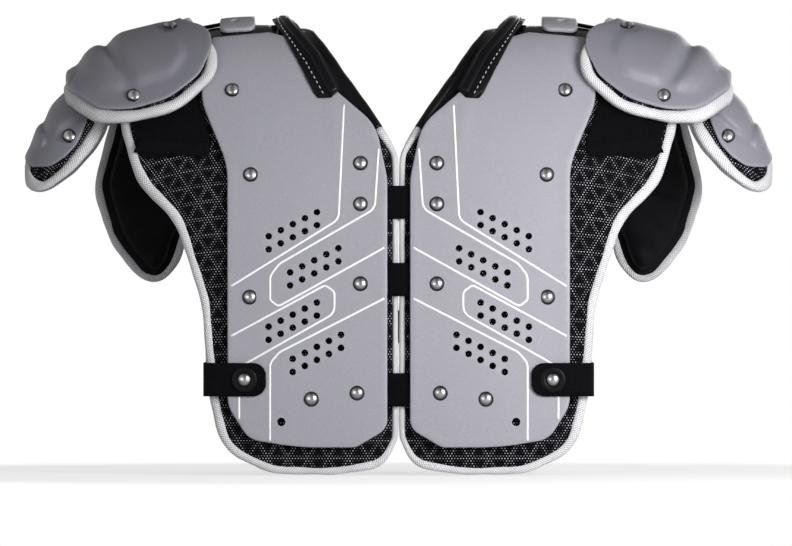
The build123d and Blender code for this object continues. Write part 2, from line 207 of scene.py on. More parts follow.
# %% Laying out
def lay_out(corners, where, out=0.0, form=body_form, step=3.0):
    """Outline on the unrolled arch, as (across, along) points without the repeated last one."""
    line = rounded(corners, step)[:-1]
    along, over = run_at_height(line[:, 0], line[:, 1], out, form)
    total = RUNS[form][-1]
    front = np.stack([line[:, 0], along], 1)
    if where == "front":
        return tidy(front)
    if where == "back":
        return tidy(np.stack([line[:, 0], total - along], 1)[::-1])
    start = next(i for i in range(len(line)) if over[i - 1] and not over[i])
    order = [(start + k) % len(line) for k in range(len(line))]
    low = front[[i for i in order if not over[i]]]
    high = np.stack([low[:, 0], total - low[:, 1]], 1)[::-1]
    return tidy(np.concatenate([low, high]))


def soften(line, times):
    """A closed line with its corners eased, as cloth and moulded shells have them."""
    for _ in range(times):
        line = line / 2 + (np.roll(line, 1, 0) + np.roll(line, -1, 0)) / 4
    return line


def tidy(points):
    """Drop points that fall together."""
    keep = np.linalg.norm(points - np.roll(points, 1, 0), axis=1) > 0.3
    return points[keep]


print("the ridge is", round(RUNS[body_form][-1] / 2), "mm from the foot, along the arch")

# %% [markdown]
# ## Distances from an outline
# Rounded edges, raised pillows and sewn seams all depend on how far a point is from an edge.
# The same distances tell an inset line from one that has folded over in a tight corner.

# %% Distances
CHUNK = 4000


def inward_normals(line):
    """Inward unit normals of a closed outline."""
    ahead = np.roll(line, -1, 0) - np.roll(line, 1, 0)
    normal = np.stack([-ahead[:, 1], ahead[:, 0]], 1)
    normal /= np.linalg.norm(normal, axis=1)[:, None] + 1e-12
    area = np.sum(line[:, 0] * np.roll(line[:, 1], -1) - line[:, 1] * np.roll(line[:, 0], -1))
    return normal if area > 0 else -normal


def inset_line(line, distance):
    """Outline moved inwards, without the points that a tight corner would fold over."""
    moved = line + inward_normals(line) * distance
    return moved[distances(moved, line) > abs(distance) * 0.93]


def distances(points, line, with_run=False):
    """Distance from each point to a closed line, and how far round the line that is."""
    a, b = line, np.roll(line, -1, 0)
    ab = b - a
    runs = np.concatenate([[0], np.cumsum(np.linalg.norm(ab, axis=1))[:-1]])
    best, run = np.full(len(points), 1e9), np.zeros(len(points))
    for start in range(0, len(points), CHUNK):
        p = points[start:start + CHUNK, None, :]
        share = np.clip(((p - a) * ab).sum(-1) / ((ab ** 2).sum(-1) + 1e-12), 0, 1)
        gap = np.linalg.norm(p - (a + share[..., None] * ab), axis=-1)
        which = gap.argmin(1)
        rows = np.arange(len(which))
        best[start:start + CHUNK] = gap[rows, which]
        run[start:start + CHUNK] = runs[which] + share[rows, which] * np.linalg.norm(
            ab[which], axis=1)
    return (best, run) if with_run else best


def inside(points, line):
    """Whether each point is inside a closed line."""
    x, y = points[:, 0][:, None], points[:, 1][:, None]
    x0, y0 = line[:, 0], line[:, 1]
    x1, y1 = np.roll(x0, -1), np.roll(y0, -1)
    crosses = (y0 > y) != (y1 > y)
    at = x0 + (y - y0) / np.where(y1 == y0, 1e-9, y1 - y0) * (x1 - x0)
    return (crosses & (x < at)).sum(1) % 2 == 1


print("from the square's middle to its edge:",
      round(float(distances(np.array([[50.0, 50.0]]), square)[0])), "mm")

# %% [markdown]
# ## Filling an outline
# A sheet needs triangles all over it, not only at its edge, because it is bent and embossed
# afterwards. Rows of loose points fill the outline, and a Delaunay triangulation joins them.
# Extra rings of points at the edge and round each hole give the rounded edge its shape.

# %% Filling
HOLE_SIDES, HOLE_LIP = 18, 0.3
ROW_SHARE, CLEAR_SHARE, HOLE_CLEAR_SHARE = 0.87, 0.45, 0.3


def circle(x, y, radius):
    turns = np.arange(HOLE_SIDES) * 2 * pi / HOLE_SIDES
    return np.stack([x + radius * np.cos(turns), y + radius * np.sin(turns)], 1)


def filled(line, spacing, holes=(), rings=()):
    """Triangles inside a line: points, triangles, and distances to the rim and to any edge."""
    low, high = line.min(0), line.max(0)
    rows = []
    for k, y in enumerate(np.arange(low[1] + spacing / 2, high[1], spacing * ROW_SHARE)):
        x = np.arange(low[0] + (k % 2) * spacing / 2, high[0], spacing)
        rows.append(np.stack([x, np.full(len(x), y)], 1))
    grid = np.concatenate(rows)
    last = max(rings) if rings else 0.0
    loops = [line] + [circle(*hole) for hole in holes]
    grid = grid[inside(grid, line)]
    for loop in loops:
        grid = grid[distances(grid, loop) > last + CLEAR_SHARE * spacing]
    for cx, cy, r in holes:
        clear = r + HOLE_LIP + HOLE_CLEAR_SHARE * spacing
        grid = grid[np.linalg.norm(grid - [cx, cy], axis=1) > clear]
    extra = [circle(x, y, radius + HOLE_LIP) for x, y, radius in holes]
    for ring in rings:
        moved = inset_line(line, ring)
        extra.append(moved[inside(moved, line)])
    points = np.concatenate(loops + extra + [grid])
    edges, start = [], 0
    for loop in loops:
        n = len(loop)
        edges += [(start + k, start + (k + 1) % n) for k in range(n)]
        start += n
    found = delaunay_2d_cdt([Vector(p) for p in points], edges, [], 0, 1e-5)
    flat = np.array([v[:] for v in found[0]])
    tris = np.array(found[2])
    middle = flat[tris].mean(1)
    keep = inside(middle, line)
    for cx, cy, r in holes:
        keep &= np.linalg.norm(middle - [cx, cy], axis=1) > r * 0.97
    tris = tris[keep]
    a, b, c = (flat[tris[:, k]] for k in range(3))
    ab, ac = b - a, c - a
    turned = ab[:, 0] * ac[:, 1] < ab[:, 1] * ac[:, 0]
    tris[turned] = tris[turned][:, ::-1]
    edge = distances(flat, line)
    worn = edge
    for cx, cy, r in holes:
        worn = np.minimum(worn, np.abs(np.linalg.norm(flat - [cx, cy], axis=1) - r))
    return flat, tris, edge, worn


print("triangles in the square:", len(filled(square, 6.0)[1]))

# %% [markdown]
# ## Meshes
# Points become metres here. The UV map holds the unrolled places, so cloth patterns follow the
# cloth, and the `edge` attribute holds the distance to the nearest edge, so that plastic can
# look rubbed there. Both are made now because a material can only read what the mesh has.

# %% Meshes
FLAT_BELOW = 0.01


def mesh_object(name, points, faces, uv=None, edge=None):
    """An object at the origin from points in millimetres, smooth but for its cut walls."""
    mesh = bpy.data.meshes.new(name)
    mesh.from_pydata([tuple(p) for p in np.asarray(points) * MM], [], [tuple(f) for f in faces])
    if uv is not None:
        layer = mesh.uv_layers.new(name="UVMap")
        corners = np.zeros(len(mesh.loops), int)
        mesh.loops.foreach_get("vertex_index", corners)
        layer.data.foreach_set("uv", (np.asarray(uv)[corners] * MM).astype(np.float32).ravel())
    if edge is not None:
        mesh.attributes.new("edge", "FLOAT", "POINT").data.foreach_set(
            "value", np.asarray(edge, np.float32))
    smooth = np.ones(len(mesh.polygons), bool)
    if edge is not None:
        smooth = np.array([max(edge[i] for i in face) > FLAT_BELOW for face in faces])
    mesh.polygons.foreach_set("use_smooth", smooth)
    mesh.update()
    made = bpy.data.objects.new(name, mesh)
    bpy.context.scene.collection.objects.link(made)
    return made


# %% [markdown]
# ## Shells
# Every layer is a thin shell, so one function makes them all. It lifts the filled outline on to
# the arch, gives the edge a rounded section and closes the wall. `relief` raises the outer face
# where a piece is crowned, quilted or embossed, and `under` does the same for the inner face.

# %% Shells
def shell(line, out, thick, form=body_form, round_edge=1.0, spacing=6.0, relief=None,
          under=None, holes=()):
    """Closed shell on the arch. Returns points, faces, unrolled places and edge distances."""
    rings = [round_edge * share for share in (0.3, 1.0)] if round_edge else []
    flat, tris, edge, worn = filled(line, spacing, holes, rings)
    depth = np.clip(edge / max(round_edge, 1e-6), 0, 1)
    drop = round_edge * (1 - np.sqrt(np.clip(1 - (1 - depth) ** 2, 0, 1)))
    turn = turn_at(flat[:, 1], form)
    raised = relief(flat, edge, turn) if relief else 0.0
    sunk = under(flat, edge, turn) if under else 0.0
    top = arch_points(flat[:, 0], turn, out - drop + raised, form)
    low = arch_points(flat[:, 0], turn, out - thick + drop - sunk, form)
    count = len(flat)
    sides = {}
    for t in tris:
        for i in range(3):
            sides.setdefault(frozenset((t[i], t[(i + 1) % 3])), []).append(
                (t[i], t[(i + 1) % 3]))
    faces = [(b, a, a + count, b + count) for pair in sides.values() if len(pair) == 1
             for a, b in pair]
    faces += [tuple(t[::-1] + count) for t in tris] + [tuple(t) for t in tris]
    return (np.concatenate([top, low]), faces, np.concatenate([flat, flat]),
            np.concatenate([worn, worn]))


def arch_points(width, turn, out, form):
    """Arch points with a different offset at each point."""
    on = arch(width, turn, 0.0, form)
    away = arch(width, turn, 1.0, form) - on
    return on + away * np.broadcast_to(out, width.shape)[:, None]


print("faces of a shell cut from the square:", len(shell(square, 0, 2.5)[1]))

# %% [markdown]
# ## Left and right
# The pads are mirror images, so a piece is built once, for the left. The mirror image has each
# face's corners reversed, because mirroring alone would turn the mesh inside out. `settle` then
# attaches the piece to the moving body it rides on and hides the solids it stands for.

# %% Both sides
SIDES = (("left", 1), ("right", -1))


def side_piece(side, sign, name, build, material):
    """The left-hand piece, or its mirror image."""
    points, faces, uv, edge = build
    piece = mesh_object(f"{side}_{name}_skin", np.array(points) * [sign, 1, 1],
                        faces if sign > 0 else [f[::-1] for f in faces], uv, edge)
    piece.data.materials.append(material)
    return piece


def both_sides(name, build, material, body=None, nodes=None, patch=None):
    """Build a left-hand piece and its mirror image, and hide the solids that each replaces."""
    points, faces = build[:2]
    for side, sign in SIDES:
        piece = side_piece(side, sign, name, build, material)
        if patch is not None:
            others, test = patch
            for other in others:
                piece.data.materials.append(other)
            middles = np.array([np.asarray(points)[list(f)].mean(0) for f in faces])
            under = np.array([min(f) >= len(points) // 2 for f in faces])
            piece.data.polygons.foreach_set("material_index", test(middles, under))
        settle(piece, side, body, nodes)
    print(name, len(faces), "faces a side")


def settle(piece, side, body, nodes):
    """Attach one finished piece to its body and hide the solids that it replaces."""
    if body is not None:
        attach(piece, body.format(side=side))
    if nodes:
        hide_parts(*[n.format(side=side) for n in nodes])


print("each piece is made for:", ", ".join(side for side, _ in SIDES))

# %% [markdown]
# ## Writing shaders as sums
# A material is easier to read as arithmetic than as a web of nodes. `Value` wraps one socket,
# and its operators add the Math nodes, so `1 - mask` works. Every other node comes from
# `Shade.node`, which takes the node's type, its settings and its inputs.

# %% Shader helpers
class Value:
    """A number inside a material."""

    def __init__(self, shade, socket):
        self.shade, self.socket = shade, socket

    def _math(self, operation, *others):
        return self.shade.node("Math", {"operation": operation},
                               {k: v for k, v in enumerate((self, *others))})["Value"]

    def __add__(self, other): return self._math("ADD", other)
    def __mul__(self, other): return self._math("MULTIPLY", other)
    def __sub__(self, other): return self._math("SUBTRACT", other)
    def __rsub__(self, other): return self.shade.number(other)._math("SUBTRACT", self)
    def sin(self): return self._math("SINE")
    def abs(self): return self._math("ABSOLUTE")
    def largest(self, other): return self._math("MAXIMUM", other)
    def smallest(self, other): return self._math("MINIMUM", other)
    __radd__, __rmul__ = __add__, __mul__


class Outputs:
    """A node's outputs by name, each as a Value."""

    def __init__(self, shade, node):
        self.shade, self.made = shade, node

    def __getitem__(self, name):
        return Value(self.shade, self.made.outputs[name])


SOCKETS = {"color": "Base Color", "roughness": "Roughness", "metallic": "Metallic",
           "sheen": "Sheen Weight", "specular": "Specular IOR Level"}


class Shade:
    """One material and its nodes."""

    def __init__(self, name):
        self.material = bpy.data.materials.new(name)
        self.material.use_nodes = True
        self.tree = self.material.node_tree
        self.shader = self.tree.nodes["Principled BSDF"]

    def node(self, kind, settings=None, inputs=None):
        made_node = self.tree.nodes.new("ShaderNode" + kind)
        for key, value in (settings or {}).items():
            setattr(made_node, key, value)
        for key, value in (inputs or {}).items():
            self.plug(made_node.inputs[key], value)
        return Outputs(self, made_node)

    def plug(self, socket, value):
        if isinstance(value, Value):
            self.tree.links.new(value.socket, socket)
        else:
            socket.default_value = value

    def number(self, amount):
        made_node = self.tree.nodes.new("ShaderNodeValue")
        made_node.outputs[0].default_value = amount
        return Value(self, made_node.outputs[0])

    def mix(self, share, low, high):
        """Colour between two colours."""
        return self.node("Mix", {"data_type": "RGBA"}, {"Factor": share, 6: low, 7: high})[2]

    def noise(self, scale, detail):
        where = self.node("TexCoord")["Object"]
        return self.node("TexNoise", None,
                         {"Scale": scale, "Detail": detail, "Vector": where})["Fac"]

    def attribute(self, name):
        return self.node("Attribute", {"attribute_name": name})["Fac"]

    def weave_axes(self):
        """Metres across and along the cloth, from the piece's own UV map."""
        split = self.node("SeparateXYZ", None, {"Vector": self.node("TexCoord")["UV"]})
        return split["X"], split["Y"]

    def bump(self, height, distance, strength):
        self.plug(self.shader.inputs["Normal"], self.node("Bump", None, {
            "Height": height, "Distance": distance, "Strength": strength})["Normal"])

    def set(self, **sockets):
        for key, value in sockets.items():
            self.plug(self.shader.inputs[SOCKETS[key]], value)
        return self.material


print("a finish can set:", ", ".join(SOCKETS))

# %% [markdown]
# ## Hard finishes
# The plates are silver-grey plastic with a fine metallic speckle. The caps are a darker
# blue-grey with a matte moulded grain. Both get slightly paler at the edge, where the moulding
# is rubbed. A picture could be wrapped on instead, but noise has no seams and no lost detail.

# %% Plastic
def plate_plastic():
    shade = Shade("plate_silver_grey")
    speckle = shade.noise(1500.0, 1.0)
    cloudy = shade.noise(9.0, 3.0)
    rub = 1 - (shade.attribute("edge") * 0.5).smallest(1.0)
    tone = (speckle - 0.5) * 0.5 + (cloudy - 0.5) * 0.10 + rub * 0.10 + 0.5
    color = shade.mix(tone, (0.168, 0.166, 0.192, 1), (0.425, 0.421, 0.470, 1))
    shade.bump(speckle, 0.00006, 0.5)
    return shade.set(color=color, roughness=cloudy * 0.12 + 0.36, specular=0.3)


def cap_plastic():
    shade = Shade("cap_blue_grey")
    grain = shade.noise(700.0, 3.0)
    cloudy = shade.noise(14.0, 3.0)
    rub = 1 - (shade.attribute("edge") * 0.4).smallest(1.0)
    tone = (grain - 0.5) * 0.3 + (cloudy - 0.5) * 0.25 + rub * 0.35 + 0.4
    color = shade.mix(tone, (0.128, 0.127, 0.150, 1), (0.275, 0.272, 0.316, 1))
    shade.bump(grain, 0.00012, 0.45)
    return shade.set(color=color, roughness=cloudy * 0.14 + 0.38, specular=0.3)


def gloss_plastic():
    shade = Shade("bridge_dark_gloss")
    cloudy = shade.noise(30.0, 3.0)
    color = shade.mix(cloudy, (0.008, 0.008, 0.010, 1), (0.022, 0.022, 0.026, 1))
    shade.bump(cloudy, 0.0004, 0.3)
    return shade.set(color=color, roughness=cloudy * 0.10 + 0.20, specular=0.2)


plate_finish, cap_finish, gloss_finish = plate_plastic(), cap_plastic(), gloss_plastic()
print("plastics:", plate_finish.name, cap_finish.name, gloss_finish.name)

# %% [markdown]
# ## Metal and ink
# A chromed dome's base colour is painted dark towards its rim, a painted reflection of what lies
# beside it. The `rim` attribute on each turned part gives that painted band, and noise in the
# roughness gives the scuffs.
# The pinstripes are white ink with a slight grain.

# %% Metal and ink
def chrome(name, tone, rough):
    shade = Shade(name)
    scuff = shade.noise(260.0, 4.0)
    bright = shade.mix(scuff, (tone * 0.8, tone * 0.8, tone * 0.82, 1), (tone, tone, tone, 1))
    # Painted reflection: the base colour goes dark towards the dome's rim, where the `rim`
    # attribute rises.
    color = shade.mix(shade.attribute("rim"), bright, (0.02, 0.02, 0.022, 1))
    return shade.set(color=color, roughness=scuff * 0.12 + rough, metallic=1.0)


def stripe_paint():
    shade = Shade("stripe_white_ink")
    grain = shade.noise(500.0, 2.0)
    color = shade.mix(grain, (0.72, 0.72, 0.73, 1), (0.92, 0.92, 0.93, 1))
    return shade.set(color=color, roughness=grain * 0.1 + 0.35)


rivet_finish, hook_finish = chrome("rivet_chrome", 0.46, 0.20), chrome("hook_steel", 0.42, 0.32)
stripe_finish = stripe_paint()
print("metal and ink:", rivet_finish.name, hook_finish.name, stripe_finish.name)

# %% [markdown]
# ## Knitted mesh
# The liner is faced with a knitted spacer mesh: black yarn with a fine grid of paler knots.
# Three sets of waves at 60 degrees make such a grid, and three wider sets make the pattern of
# triangles that the knots are gathered in. They follow each piece's own UV map, which is the
# unrolled cloth in metres, so the pattern bends with the cloth.

# %% Knitted mesh
KNOT_PITCH, TRIANGLE_PITCH, ROW_OF_GRID = 0.0022, 0.0150, 0.866


def spacer_mesh():
    shade = Shade("mesh_black_knit")
    across, along = shade.weave_axes()

    def waves(pitch):
        turns = (pi / 6, 5 * pi / 6, 3 * pi / 2)
        return [(across * (cos(a) / pitch) + along * (sin(a) / pitch)).sin() for a in turns]

    fine = waves(KNOT_PITCH * ROW_OF_GRID / (2 * pi))
    coarse = waves(TRIANGLE_PITCH * ROW_OF_GRID / pi)
    knit = (fine[0] + fine[1] + fine[2]) * 0.33
    lines = coarse[0].abs().smallest(coarse[1].abs()).smallest(coarse[2].abs())
    dots = ((knit - 0.36) * 3.0).largest(0.0).smallest(1.0)
    star = (1 - lines * 1.9).largest(0.0)
    soft = shade.noise(60.0, 3.0)
    color = shade.mix(dots * (star * 0.95 + 0.05) * (soft * 1.8),
                      (0.0015, 0.0015, 0.0025, 1), (0.55, 0.55, 0.59, 1))
    shade.bump(knit * 0.5 + star * 0.5, 0.0006, 0.8)
    return shade.set(color=color, roughness=soft * 0.15 + 0.75, specular=0.04)


mesh_finish = spacer_mesh()
print("mesh:", mesh_finish.name)

# %% [markdown]
# ## Tape, webbing and thread
# The binding is a twill tape, whose weave is a slanted wave, and webbing is ribbed along its
# length. A sewing thread is too fine to show its twist as more than a speckle.

# %% Tape, webbing and thread
TWILL_PITCH, TWILL_RIB, WEBBING_RIB, WEBBING_PICK = 0.0019, 0.0011, 0.0016, 0.0011


def twill_binding():
    shade = Shade("binding_grey_twill")
    across, along = shade.weave_axes()
    slant = ((across * 1.1 + along) * (2 * pi / TWILL_PITCH)).sin()
    ribs = ((across - along * 0.3) * (2 * pi / TWILL_RIB)).sin()
    soft = shade.noise(45.0, 4.0)
    tone = slant * 0.26 + ribs * 0.12 + (soft - 0.5) * 0.5 + 0.56
    color = shade.mix(tone, (0.24, 0.24, 0.252, 1), (0.84, 0.84, 0.865, 1))
    shade.bump(slant * 0.4 + ribs * 0.2 + soft * 1.4, 0.0004, 0.7)
    return shade.set(color=color, roughness=soft * 0.1 + 0.62, sheen=0.2, specular=0.25)


def webbing():
    shade = Shade("webbing_black_ribbed")
    across, along = shade.weave_axes()
    ribs = (across * (2 * pi / WEBBING_RIB)).sin()
    picks = (along * (2 * pi / WEBBING_PICK) + ribs * 1.2).sin()
    soft = shade.noise(70.0, 3.0)
    tone = ribs * 0.14 + picks * 0.14 + soft * 0.4 + 0.2
    color = shade.mix(tone, (0.0008, 0.0008, 0.0011, 1), (0.006, 0.006, 0.0075, 1))
    shade.bump(ribs * 0.7 + picks * 0.5, 0.0003, 0.9)
    return shade.set(color=color, roughness=soft * 0.15 + 0.6, specular=0.05)


def thread(name, dark, pale):
    shade = Shade(name)
    twist = shade.noise(900.0, 2.0)
    color = shade.mix(twist, (dark, dark, dark * 1.04, 1), (pale, pale, pale * 1.04, 1))
    shade.bump(twist, 0.0002, 0.5)
    return shade.set(color=color, roughness=twist * 0.1 + 0.6)


binding_finish, webbing_finish = twill_binding(), webbing()
black_thread, grey_thread = thread("thread_black", 0.01, 0.05), thread("thread_grey", 0.3, 0.6)
print("woven:", binding_finish.name, webbing_finish.name, black_thread.name, grey_thread.name)

# %% [markdown]
# ## Vinyl and nylon
# The collar is smooth vinyl with fine creases, and the cushions are coated nylon, whose weave is
# so fine that mostly its soft folds show. Both are nearly black, so their gloss shows the form.

# %% Vinyl and nylon
NYLON_PITCH = 0.0009


def black_vinyl():
    shade = Shade("vinyl_black_gloss")
    creases = shade.noise(120.0, 5.0)
    soft = shade.noise(25.0, 3.0)
    color = shade.mix(soft, (0.0015, 0.0015, 0.002, 1), (0.007, 0.007, 0.0085, 1))
    shade.bump(creases * 0.5 + soft, 0.0008, 0.35)
    return shade.set(color=color, roughness=creases * 0.18 + 0.26, specular=0.10)


def black_nylon():
    shade = Shade("nylon_black_coated")
    across, along = shade.weave_axes()
    weave = (across * (2 * pi / NYLON_PITCH)).sin() * (along * (2 * pi / NYLON_PITCH)).sin()
    folds = shade.noise(38.0, 4.0)
    color = shade.mix(folds, (0.0015, 0.0015, 0.002, 1), (0.007, 0.007, 0.009, 1))
    shade.bump(weave * 0.15 + folds, 0.0012, 0.5)
    return shade.set(color=color, roughness=folds * 0.2 + 0.40, specular=0.08)


vinyl_finish, nylon_finish = black_vinyl(), black_nylon()
print("materials so far:", len(bpy.data.materials))

# %% [markdown]
# ## Depth of each layer
# Offsets count outwards from the plate's outer face, so what lies nearer to the body has a
# negative one. They repeat the thicknesses of the solids, so that a piece made here lies where
# its solid lies.

# %% Layers
FIT, PLATE, UNDER, LINER, CUSHION, TRIM = 0.4, 2.5, 2.0, 10.0, 12.0, 1.6
PAD_LIFT, CAP_PAD, CAP_SHELL, WEBBING = 0.6, 9.0, 2.6, 2.0
UNDER_TOP = -(PLATE + FIT)
LINER_TOP = UNDER_TOP - UNDER - FIT
LINER_MIDDLE = LINER_TOP - LINER / 2
CUSHION_TOP = LINER_TOP - LINER - FIT
CAP_PAD_TOP = PAD_LIFT + CAP_PAD
CAP_TOP = CAP_PAD_TOP + FIT + CAP_SHELL
CUP_PAD_TOP, CUP_PAD = -(CAP_SHELL + FIT), 8.0
RIM, BINDING = 8.5, 7.0
print("from the plate's face to the body:", round(CUSHION - CUSHION_TOP, 1), "mm")

# %% [markdown]
# ## Outlines of the pieces
# Each corner is (distance from the breastbone, height, rounding) in millimetres, as seen from
# the front. A height of 400 or more lies above the arch: there the outline reaches the ridge,
# and `lay_out` either stops or mirrors it down the back. The back liner differs from the front
# one only in its side, where a wing reaches under the arm, so they share their foot and neck.

# %% Patterns
PLATE_EDGE = [(8.5, 35, 12), (32, 21, 10), (75, 21, 200), (112, 27, 18), (127.5, 52, 22),
              (128, 232, 60), (149, 283, 40), (140, 328, 2), (97, 332, 3), (76, 326, 3),
              (46, 287, 30), (17, 262, 36), (8.5, 222, 60)]
LINER_FOOT = [(0.4, 28, 8), (10, 6, 18), (50, 0, 60), (95, 1, 40), (132, 18, 34), (142, 62, 60)]
LINER_NECK = [(209, 400, 2), (79, 400, 2), (74, 340, 30), (54, 318, 30), (16, 266, 30),
              (0.4, 240, 20)]
FRONT_LINER = LINER_FOOT + [(147, 128, 60), (167, 190, 45), (196, 218, 50), (209, 262, 30)
                            ] + LINER_NECK
BACK_LINER = LINER_FOOT + [(146, 140, 40), (152, 183, 4), (161, 183, 4), (166, 160, 30),
                           (180, 143, 14), (197, 145, 22), (220, 174, 40), (232.5, 215, 30),
                           (218, 268, 30)] + LINER_NECK
PANEL = [(152, 400, 2), (152, 286, 20), (140, 250, 4), (150, 240, 6), (192, 236, 8),
         (200, 262, 20), (200, 400, 2)]
BRIDGE = [(91, 305, 3), (91, 400, 2), (147, 400, 2), (147, 305, 3)]
TRIM_EDGE = [(43.5, 288.5, 2), (51, 282, 2), (61.5, 282, 2), (73.5, 306, 40), (88, 333, 30),
             (97, 343, 20), (97, 400, 2), (82, 400, 2), (82, 345, 8), (61, 320, 30)]
CAP = [(141, 334, 8), (139.5, 322, 12), (149, 300, 14), (172, 282, 40), (200, 274, 40),
       (226, 274, 22), (251, 291, 6), (251, 304, 8), (246, 420, 2), (172, 420, 2), (172, 344, 12),
       (150, 339.5, 8)]
CAP_RIM = [(134, 318, 14), (138, 299, 16), (165, 274, 40), (200, 265.5, 40), (228, 265.5, 24),
           (252.5, 286, 8), (252.5, 300, 6), (250, 420, 2), (164, 420, 2), (160, 344, 20)]
CUP = [(232, 278, 6), (234, 265, 8), (241.5, 248, 14), (249, 239.5, 14), (261, 231, 12),
       (277, 230.5, 6), (282.5, 238, 5), (282.5, 400, 2), (232, 400, 2)]
CUP_RIM = [(218, 275, 6), (221, 261, 20), (231, 244.5, 30), (246, 227, 30), (262, 215, 20),
           (275, 211, 12), (283.5, 218, 6), (283.5, 400, 2), (218, 400, 2)]
print("corners in the front plate's outline:", len(PLATE_EDGE))

# %% [markdown]
# ## Hard plates
# Each plate is one formed sheet with a turned edge, and the chest plate has rows of vents. The
# vents are real holes, so the black mesh shows through them. A shallow crease runs down beside
# the neck, as a relief on the sheet, because it's too soft to need an edge of its own.

# %% Plates
PLATE_ROUNDING = 1.1
VENT_RADIUS, VENT_STEP, VENT_ROW, VENT_COLUMNS, VENT_ROWS = 2.55, (9.0, -4.5), 9.75, 5, 2
VENT_STARTS = ((61.0, 196.5), (45.0, 169.5), (61.0, 129.0), (43.0, 105.0))
LACE_PLACE, LACE_RADIUS = (87.5, 40), 3.2
LIP_RISE, LIP_REACH = 0.5, 5.0
CREASE_RISE, CREASE_WIDTH, CREASE_AT, CREASE_SLANT = 0.7, 5.0, 52.0, 0.10


def on_front(places, out=0.0):
    """Front-view places as unrolled places."""
    width, height = np.array(places, float).T
    return np.stack([width, run_at_height(width, height, out, body_form)[0]], 1)


vents = [(w + c * VENT_STEP[0], h + c * VENT_STEP[1] - r * VENT_ROW)
         for w, h in VENT_STARTS for c in range(VENT_COLUMNS) for r in range(VENT_ROWS)]
vent_holes = [(x, v, VENT_RADIUS) for x, v in on_front(vents)]
lace_hole = [(x, v, LACE_RADIUS) for x, v in on_front([LACE_PLACE])]


def plate_relief(flat, edge, turn):
    """A shallow turned lip at the edge and the soft crease beside the neck."""
    lip = LIP_RISE * np.exp(-(edge / LIP_REACH) ** 2)
    beside = flat[:, 0] - CREASE_AT - CREASE_SLANT * (flat[:, 1] - 300)
    crease = CREASE_RISE * np.exp(-(beside / CREASE_WIDTH) ** 2)
    return lip + crease * np.clip((flat[:, 1] - 215) / 60, 0, 1) * np.clip(edge / 12, 0, 1)


front_edge = lay_out(PLATE_EDGE, "front")
both_sides("front_plate", shell(front_edge, 0, PLATE, spacing=4.0, round_edge=PLATE_ROUNDING,
                                relief=plate_relief, holes=vent_holes + lace_hole),
           plate_finish, "torso", ["{side}_front_plate"])
both_sides("back_plate", shell(lay_out(PLATE_EDGE, "back"), 0, PLATE, spacing=6.0,
                               round_edge=PLATE_ROUNDING, relief=plate_relief),
           plate_finish, "torso", ["{side}_back_plate"])

# %% [markdown]
# ## Ribbons
# Stripes, ties and folds are flat strips that follow a line. A curve object with a bevel would
# twist where the line bends on the arch, so the strip is built from its own section instead:
# each point of the section is carried along the line and lifted off the arch.

# %% Ribbons
BARE = 5.0


def lengths(line):
    """Distance along an open line to each of its points."""
    return np.concatenate([[0], np.cumsum(np.linalg.norm(np.diff(line, axis=0), axis=1))])


def flat_section(columns, high, low):
    """Section of a flat strip: across its upper face, then back across its lower one."""
    return ([(share, high(share)) for share in np.linspace(-0.5, 0.5, columns)]
            + [(share, low) for share in np.linspace(0.5, -0.5, columns)])


def ribbon(path, width, out, thick, crown=0.0, columns=5):
    """Flat strip along a line on the unrolled arch, with a closed section."""
    ahead = np.gradient(path, axis=0)
    ahead /= np.linalg.norm(ahead, axis=1)[:, None] + 1e-9
    side = np.stack([ahead[:, 1], -ahead[:, 0]], 1)
    run = lengths(path)
    points, uv = [], []
    for share, lift in flat_section(columns, lambda at: crown * (1 - (2 * abs(at)) ** 2), -thick):
        flat = path + side * width * share
        turn = turn_at(flat[:, 1], body_form)
        points.append(arch_points(flat[:, 0], turn, out + lift, body_form))
        uv.append(np.stack([np.full(len(path), share * width), run], 1))
    return grid_faces(np.array(points), np.array(uv))


def grid_faces(points, uv, closed=False):
    """Faces of a tube whose section runs round the first axis."""
    around, along = points.shape[:2]
    index = np.arange(around * along).reshape(around, along)
    faces = []
    for i in range(around):
        for k in range(along - (0 if closed else 1)):
            j, m = (i + 1) % around, (k + 1) % along
            faces.append((index[i, k], index[i, m], index[j, m], index[j, k]))
    if not closed:
        faces += [tuple(index[:, 0]), tuple(index[::-1, -1])]
    flat_points = points.reshape(-1, 3)
    return flat_points, faces, uv.reshape(-1, 2), np.full(len(flat_points), BARE)


def front_path(corners, step=2.0):
    """An open line given as front-view corners, on the unrolled arch."""
    return on_front(rounded(corners, step, closed=False))


print("points along a level 100 mm ribbon:", len(front_path([(0, 150, 0), (100, 150, 0)])))

# %% [markdown]
# ## Pinstripes
# The stripes are printed in white ink. A stripe could be painted in the plate's material, but a
# thin ribbon has a sharp edge from any distance. It stands a fifth of a millimetre proud of the
# sheet, so that the two faces don't flicker through each other.

# %% Pinstripes
STRIPES = {
    "neck": [(41, 277, 0), (45, 191, 9), (127, 140, 0)],
    "upper": [(15, 244, 0), (18, 199, 9), (89, 158, 9), (96, 149, 9), (96, 131, 3),
              (90, 126, 4), (9, 171, 0)],
    "lower": [(127, 103, 0), (55, 142, 3), (48, 137, 4), (48, 121, 9), (115, 83, 0)],
    "foot": [(9, 133, 0), (89, 92, 9), (96, 84, 9), (96, 26, 0)],
    "foot_side": [(115, 83, 9), (119, 78, 6), (119, 38, 0)],
}
INK_WIDTH, INK_LIFT, INK_THICK, INK_MARGIN = 1.6, 0.18, 0.4, 1.5
for stripe, corners in STRIPES.items():
    points = front_path(corners)
    points = points[distances(points, front_edge) > INK_MARGIN]
    on_sheet = plate_relief(points, distances(points, front_edge), None) + INK_LIFT
    both_sides(f"stripe_{stripe}", ribbon(points, INK_WIDTH, on_sheet, INK_THICK, columns=2),
               stripe_finish, "torso")

